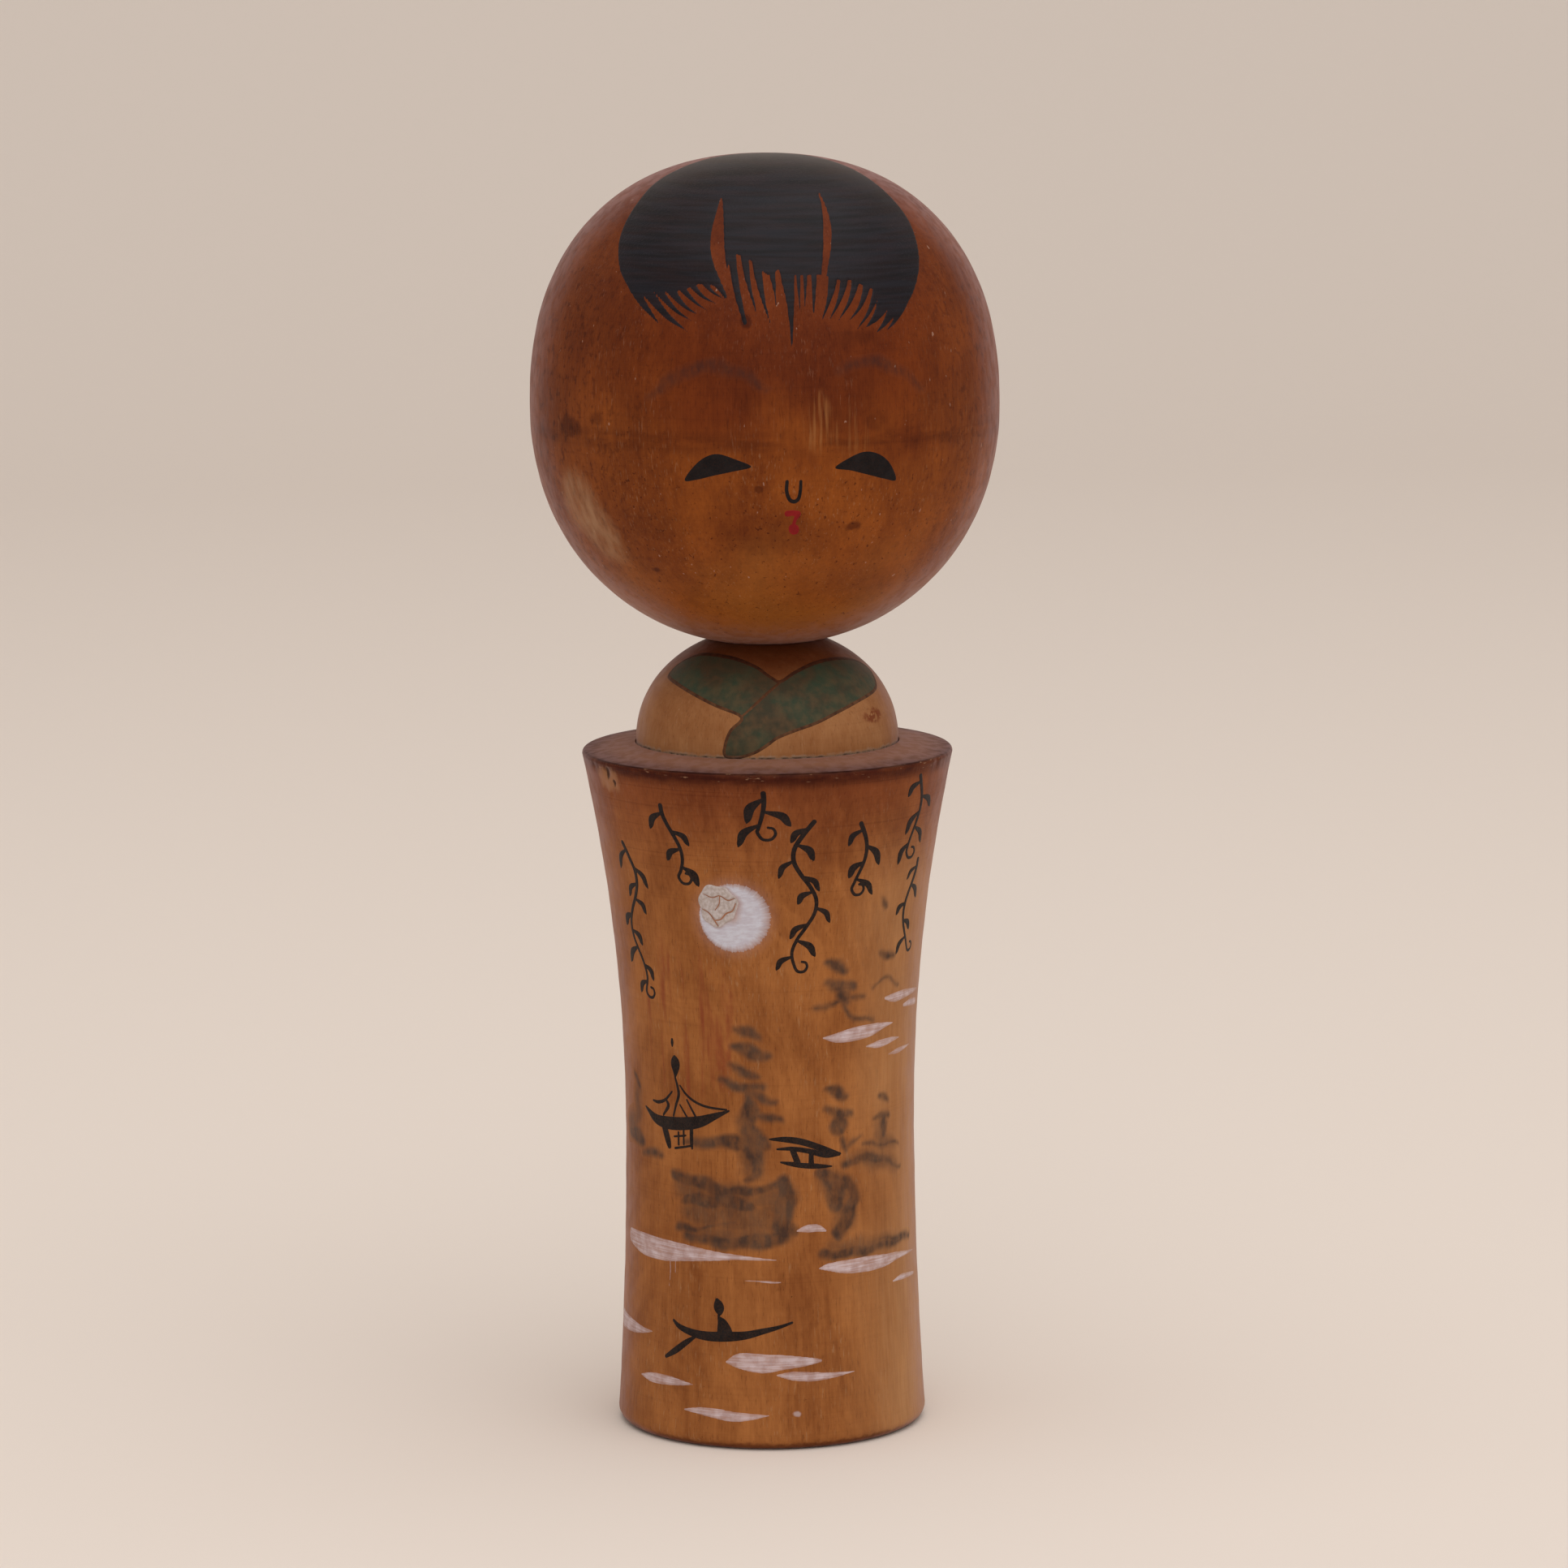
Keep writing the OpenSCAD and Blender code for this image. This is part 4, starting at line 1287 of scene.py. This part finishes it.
# %% Landscape strokes
PINES = [
    [(7.5, 92.2, 0.7), (11.3, 90.5, 0.8)], [(7.2, 88.3, 0.7), (13, 87.1, 1.0)],
    [(10.1, 86.7, 0.9), (11.9, 84.1, 0.7)],
    [(4.6, 83.6, 0.3), (8.2, 84.3, 0.5), (15.3, 85.3, 0.3)],
    [(11.2, 84, 0.4), (12.8, 81.6, 0.5), (18.5, 80.1, 0.3)],
    [(18.5, 103.6, 0.4), (19.4, 101.8, 0.5)], [(19.6, 93, 0.5), (23.1, 91.6, 0.6)],
    [(18.1, 86.5, 0.25), (21.1, 87.8, 0.3), (25, 86.1, 0.25)],
    [(-10.5, 80.1, 0.7), (-6, 78.7, 0.9)], [(-10.8, 76.7, 0.7), (-4.4, 74.8, 1.0)],
    [(-11.9, 73, 0.5), (-6.5, 70.9, 0.7)],
    [(-13.3, 69.9, 0.7), (-8.6, 68.9, 1.0), (-5.3, 68.7, 0.7)], [(-8.2, 67.9, 0.7), (-2.4, 66.1, 0.5)],
    [(-7.8, 67.1, 1.1), (-7.9, 61.4, 1.2)],
    [(-6.6, 63.9, 0.6), (-1.6, 62.6, 0.5)], [(-7.9, 61.4, 1.5), (-7.1, 57, 2.1)],
    [(7.9, 68.2, 0.6), (11.7, 66.4, 0.8)], [(7.1, 64.2, 0.6), (13.3, 62.8, 0.8)],
    [(9.8, 62.8, 1.3), (10.8, 59.4, 1.0)],
    [(11.3, 58.2, 0.7), (11.7, 56.1, 0.5)], [(12.2, 56.9, 0.3), (15.3, 58.5, 0.25)],
    [(20.6, 65.5, 0.5), (23.3, 64.2, 0.6)], [(19.4, 61.1, 0.4), (23.3, 61.4, 0.6)],
    [(22.3, 61.2, 0.8), (21.9, 58, 0.9)], [(16.4, 56.7, 0.4), (27.4, 55.4, 0.3)],
    [(-37.8, 68.3, 0.5), (-35.9, 66.6, 0.6)],
]
ISLETS = [
    [(-21.6, 57.5, 0.6), (-13.9, 58.3, 1.2), (-5.4, 58.2, 1.6)],
    [(-7.1, 56.6, 1.8), (-6.2, 53.8, 1.4), (-8.4, 51.1, 0.6)],
    [(-24.3, 50.9, 1.0), (-19.1, 50.3, 1.4), (-13.6, 49.1, 1.4)],
    [(-14.9, 49, 1.2), (-7.9, 49.2, 1.0), (-1.2, 50.5, 1.0)],
    [(-21.6, 46.8, 1.3), (-14, 47.1, 1.6), (-8, 46.5, 1.2)],
    [(-1, 50.5, 1.6), (-0.8, 46.5, 2.1), (-1.7, 43.3, 2.1), (0.4, 41.3, 1.0)],
    [(-23.5, 41.3, 0.9), (-17.7, 41.6, 0.6), (-10.5, 43.6, 0.4)],
    [(-21.6, 40.1, 0.8), (-12.3, 39.3, 1.4), (-1.3, 40.5, 1.6)],
    [(6.1, 52.2, 1.2), (9.3, 49.9, 2.1), (9.7, 46.2, 2.1)],
    [(11.7, 50.1, 1.6), (13.6, 47, 1.2), (12, 43.6, 1.8), (10.1, 40.6, 1.4)],
    [(11.7, 53.7, 0.8), (19.3, 53.9, 1.1), (28.2, 50.6, 0.3)], [(20.1, 37.9, 0.4), (31.9, 36.9, 0.6)],
    [(6.8, 36.9, 0.8), (12.9, 36.6, 1.2), (22.7, 36.8, 0.8), (30.6, 36.6, 0.3)],
    [(-41.4, 57.1, 1.0), (-34.5, 56.3, 1.2)], [(-34.5, 54.2, 0.6), (-27.9, 54.5, 0.5)],
]
ISLET_BODIES = [
    [(-23, 49, 1.6), (-17, 48.4, 2.4), (-9, 48, 2.4), (-1, 48.4, 2.6)],
    [(-21, 44.5, 1.6), (-13, 44, 2.6), (-3, 44, 2.8)],
    [(-20, 40.8, 1.2), (-11, 40.6, 1.8), (-1, 41.2, 1.8)],
    [(-8.6, 62, 1.8), (-7.6, 58, 2.6), (-7.4, 53.5, 2.4)],
    [(7.4, 51.5, 1.8), (10.8, 48.6, 3.2), (11.6, 44.4, 2.8), (10.4, 41, 1.6)],
    [(12.4, 54.4, 1.0), (19.3, 53.6, 1.8), (26, 51.4, 1.0)],
    [(21.4, 60, 1.4), (21.2, 57, 1.8), (25, 55.6, 0.8)],
    [(8.5, 38, 1.0), (15, 37.4, 1.6), (26, 37.2, 1.0)],
    [(-41, 58, 2.0), (-37, 61, 1.6), (-36.5, 65.5, 1.0)],
]
CLOUDS = [
    [(21.5, 83.9, 0.3), (24.5, 83.6, 0.9), (29.1, 83.7, 0.8), (35.9, 83.4, 0.2)],
    [(28.4, 81.5, 0.3), (31.7, 81.5, 0.7), (35.6, 81.1, 0.6)],
    [(6.9, 77.9, 0.15), (9.6, 77.7, 0.9), (13.4, 78, 1.3), (17.6, 78.3, 1.2), (21.2, 78.7, 0.6),
     (24.3, 78.8, 0.1)],
    [(16.8, 75.3, 0.15), (20.2, 75.3, 0.7), (24.2, 75.6, 0.5), (26.9, 75.6, 0.1)],
    [(23.3, 72.9, 0.1), (26.9, 73.1, 0.5), (32.2, 73.4, 0.1)],
]
WAVES = [
    [(1.4, 41.6, 0.2), (3.4, 41.9, 0.7), (5.5, 41.9, 0.7), (7.2, 41.3, 0.25)],
    [(-40.2, 37, 1.4), (-34.3, 36.5, 2.1), (-27.8, 36.4, 2.1), (-21.6, 36.6, 1.6), (-15.8, 36.6, 1.0),
     (-10.5, 36.6, 0.5), (-2.8, 36.2, 0.08)],
    [(5.8, 34.2, 0.1), (8.1, 34.3, 0.8), (11.8, 34, 1.3), (17, 33.9, 1.5), (21.9, 33.8, 1.2),
     (26.4, 33.9, 0.7), (34.5, 33.4, 0.1)],
    [(24.3, 29.3, 0.12), (27.8, 29.5, 0.55), (34.4, 29, 0.3)],
    [(-25.9, 36.5, 0.14), (-25.5, 33, 0.12), (-25.8, 29.8, 0.05)],
    [(-24.3, 36, 0.06), (-24.2, 33.6, 0.1), (-24.3, 32, 0.05)],
    [(-9.4, 32.3, 0.08), (-6.4, 32.2, 0.14), (-3.9, 32, 0.2), (-1.4, 31.9, 0.06)],
    [(-45.2, 20, 1.8), (-38.1, 19.9, 1.2), (-33.4, 20, 0.55), (-30.4, 20.3, 0.08)],
    [(-12.5, 16.7, 0.25), (-9.7, 17, 1.5), (-5.6, 16.6, 1.8), (-1.6, 16.8, 1.4), (2.5, 16.8, 0.9),
     (5.7, 16.8, 0.3)],
    [(-2.8, 14.4, 0.15), (0, 14.2, 0.8), (3.3, 13.9, 0.9), (7.5, 13.8, 0.6), (12.8, 14, 0.08)],
    [(-33.7, 11.5, 0.15), (-29.9, 11.6, 0.95), (-25.7, 11.8, 0.9), (-22.5, 11.8, 0.55),
     (-19.6, 11.8, 0.08)],
    [(-21.3, 6.9, 0.15), (-18.1, 7, 0.65), (-14.6, 6.8, 0.95), (-11.2, 6.4, 0.95), (-8, 6.5, 0.65),
     (-4.4, 6.8, 0.08)],
]
PAVILION = [
    [(-24.4, 76.9, 0.2), (-24.4, 76.3, 0.28), (-24.4, 75.7, 0.12)],
    [(-23.9, 73.6, 0.3), (-23.8, 72.4, 1.05), (-23.8, 71.1, 0.65), (-23.9, 69.9, 0.15)],
    [(-24, 69.9, 0.12), (-23.4, 68, 0.24), (-23.2, 66.4, 0.28), (-23.9, 64.5, 0.2), (-24.6, 62.4, 0.16)],
    [(-22.8, 68.3, 0.1), (-21.4, 66.8, 0.17), (-19.4, 65.6, 0.17), (-16.6, 64.8, 0.16),
     (-12.5, 64.5, 0.12)],
    [(-24.9, 66.9, 0.1), (-25.9, 65.9, 0.17), (-27, 65, 0.22), (-28.9, 64.4, 0.26), (-30.5, 64.5, 0.12)],
    [(-22.9, 64.6, 0.1), (-21.1, 62.3, 0.14)], [(-21.2, 65.7, 0.12), (-19.1, 62.6, 0.16)],
    [(-26.5, 65.1, 0.16), (-26, 64, 0.32), (-27.4, 62.2, 0.16)],
    [(-33.2, 62.9, 0.15), (-29.7, 61.1, 0.85), (-25.9, 60.8, 1.15), (-21.5, 61.2, 1.15),
     (-18.1, 61.9, 1.0), (-14.8, 63.2, 0.55), (-12.0, 64.3, 0.1)],
    [(-27.2, 60, 0.7), (-26.3, 57.6, 0.7), (-25.9, 56.4, 0.45)],
    [(-20.2, 60.8, 0.32), (-20.2, 57.8, 0.36), (-20.1, 56.6, 0.16)],
    [(-23.4, 59.3, 0.16), (-23.4, 57, 0.18)], [(-22.1, 59.7, 0.16), (-22.1, 57.2, 0.16)],
    [(-24.5, 58.4, 0.12), (-21.6, 58.9, 0.12)], [(-24.3, 56.2, 0.16), (-20.6, 57, 0.16)],
]
COVERED_BOAT = [
    [(-3.9, 59.1, 0.12), (-0.7, 59, 0.48), (2.6, 58.4, 0.55), (6.6, 57, 0.48), (10.7, 55.6, 0.12)],
    [(-2.4, 57.2, 0.12), (0.5, 57.2, 0.34), (3.9, 56.6, 0.42), (7.5, 55.6, 0.45), (10.5, 55.4, 0.1)],
    [(0.7, 56.8, 0.5), (1.6, 54.6, 0.55)], [(4.4, 56.1, 0.4), (4.4, 54.2, 0.5)],
    [(-1.7, 54.7, 0.1), (0.5, 54.3, 0.36), (3, 53.9, 0.44), (6.1, 53.6, 0.4), (8.7, 53.4, 0.1)],
]
ROWING_BOAT = [
    [(-24.4, 23.4, 0.2), (-22.9, 22.4, 0.45), (-19.8, 21.6, 0.65), (-16.6, 21.3, 0.82),
     (-12.6, 21.5, 0.88), (-8.9, 21.9, 0.7), (-5.6, 22.7, 0.5), (-2.3, 23.5, 0.28), (0.2, 24.3, 0.15)],
    [(-14, 24.8, 0.35), (-13.4, 23.8, 0.95), (-13, 22.4, 1.45)],
    [(-14.6, 28.3, 0.3), (-14.2, 27, 0.98), (-14, 25.9, 0.4)], [(-14.2, 25.9, 0.16), (-14.2, 24.8, 0.2)],
    [(-19.1, 21, 0.16), (-21.3, 19.6, 0.48), (-23.8, 17.8, 0.55), (-26.2, 16.3, 0.28)],
]


def dry(drawing):
    """Dry brush: full in the middle of a stroke, thinner towards its edge."""
    def draw(x, y):
        """Edge distance and a cover of 0.6 at the edge, 1 half a millimetre inside."""
        edge = strokes_edge(x, y, drawing)
        return edge, 0.6 + 0.4 * np.clip(edge / 0.5, 0, 1)
    return draw


faded_ink = paint("faded_ink", "trunk", (0.090, 0.050, 0.032), (0.042, 0.025, 0.020), 0.5, 0.34,
                  (0.7, 0.7, 0.4), (0.25, 0.25, 0.25))
dry_white = paint("dry_white", "trunk", (0.64, 0.53, 0.56), (0.48, 0.35, 0.35), 0.55, 0.50,
                  (0.16, 0.16, 5.0))
scene_ink = paint("scene_ink", "trunk", (0.006, 0.0055, 0.0065), (0.012, 0.0105, 0.011), 0.42, 0.07,
                  (3, 3, 3))
draw_bay = wash(PINES + ISLETS, 1.35, 0.95, ISLET_BODIES)
film("faded_pines_and_islets", on_trunk, (-46, 35, 33, 106), 0.3, draw_bay, "trunk", faded_ink,
     lift=0.015, slope=0.1)
film("white_clouds", on_trunk, (5, 38, 71, 86), 0.15, dry(CLOUDS), "trunk", dry_white)
film("white_waves", on_trunk, (-49, 37, 4, 44), 0.2, dry(WAVES), "trunk", dry_white)
for name, window, drawing in (("painted_pavilion", (-35, -11, 55, 78), PAVILION),
                              ("painted_covered_boat", (-5, 12, 52, 61), COVERED_BOAT),
                              ("painted_rowing_boat", (-28, 2, 15, 30), ROWING_BOAT)):
    film(name, on_trunk, window, 0.1, solid(lines(drawing)), "trunk", scene_ink)

# %% [markdown]
# ### Willow sprigs
# Around the top hang sprigs of willow: a thin stem that wanders as it falls, with slender leaves
# to both sides. They are generic ornament with the weight of brushwork: a rule draws each one
# from where it starts, how long it hangs and how it sways, and a fixed seed varies the leaves.

# %% Sprigs
SPRIGS = [  # x, top, length, sway, leaf size
    (-32, 113.5, 28, 1.8, 1.3), (-20.5, 122, 13.5, 1.6, 1.35), (-5.2, 125.2, 7.5, 0.8, 1.6),
    (2.6, 119.5, 27.5, 2.2, 1.3), (12.4, 118.5, 12.5, 1.4, 1.35), (24.8, 126, 14.5, 1.2, 1.35),
    (26.6, 109.5, 16.5, 1.5, 1.1),
]


def sprig(x, top, length, sway, leaf, pick):
    """Stem: x plus a sine sway of the way down, then a curl. Leaves: strokes hanging to both sides."""
    down = np.linspace(0, 1, 12)
    stem_x = x + sway * np.sin(2 * math.pi * down * length / 19 + x)
    stem_z = top - length * down
    turn_by = np.linspace(0, 1.5 * math.pi, 6)[1:]
    curl = 1.1 * leaf * (1 - 0.10 * turn_by)
    stem_x = np.r_[stem_x, stem_x[-1] + 1.1 * leaf - curl * np.cos(turn_by)]
    stem_z = np.r_[stem_z, stem_z[-1] - curl * np.sin(turn_by)]
    drawing = [np.stack([stem_x, stem_z, np.linspace(0.36, 0.16, len(stem_x))], 1)]
    count = max(3, int(length / 2.9))
    for k in range(count):
        share = (k + 0.4) / count
        start = np.array([np.interp(share, down, stem_x[:12]), top - length * share])
        side = 1 if k % 2 else -1
        tip = start + leaf * np.array([side * pick.uniform(1.7, 2.8), -pick.uniform(1.6, 3.0)])
        middle = (start + tip) / 2 + leaf * np.array([side * 0.45, 0.35])
        fat = leaf * pick.uniform(0.34, 0.5)
        drawing.append([(*start, 0.12), (*middle, fat), (*(0.35 * middle + 0.65 * tip), fat * 0.75),
                        (*tip, 0.06)])
    return drawing


pick = np.random.default_rng(8)
sprig_lines = [line for numbers in SPRIGS for line in sprig(*numbers, pick)]
film("painted_sprigs", on_trunk, (-40, 32, 82, 126.6), 0.12, solid(lines(sprig_lines)), "trunk",
     scene_ink)
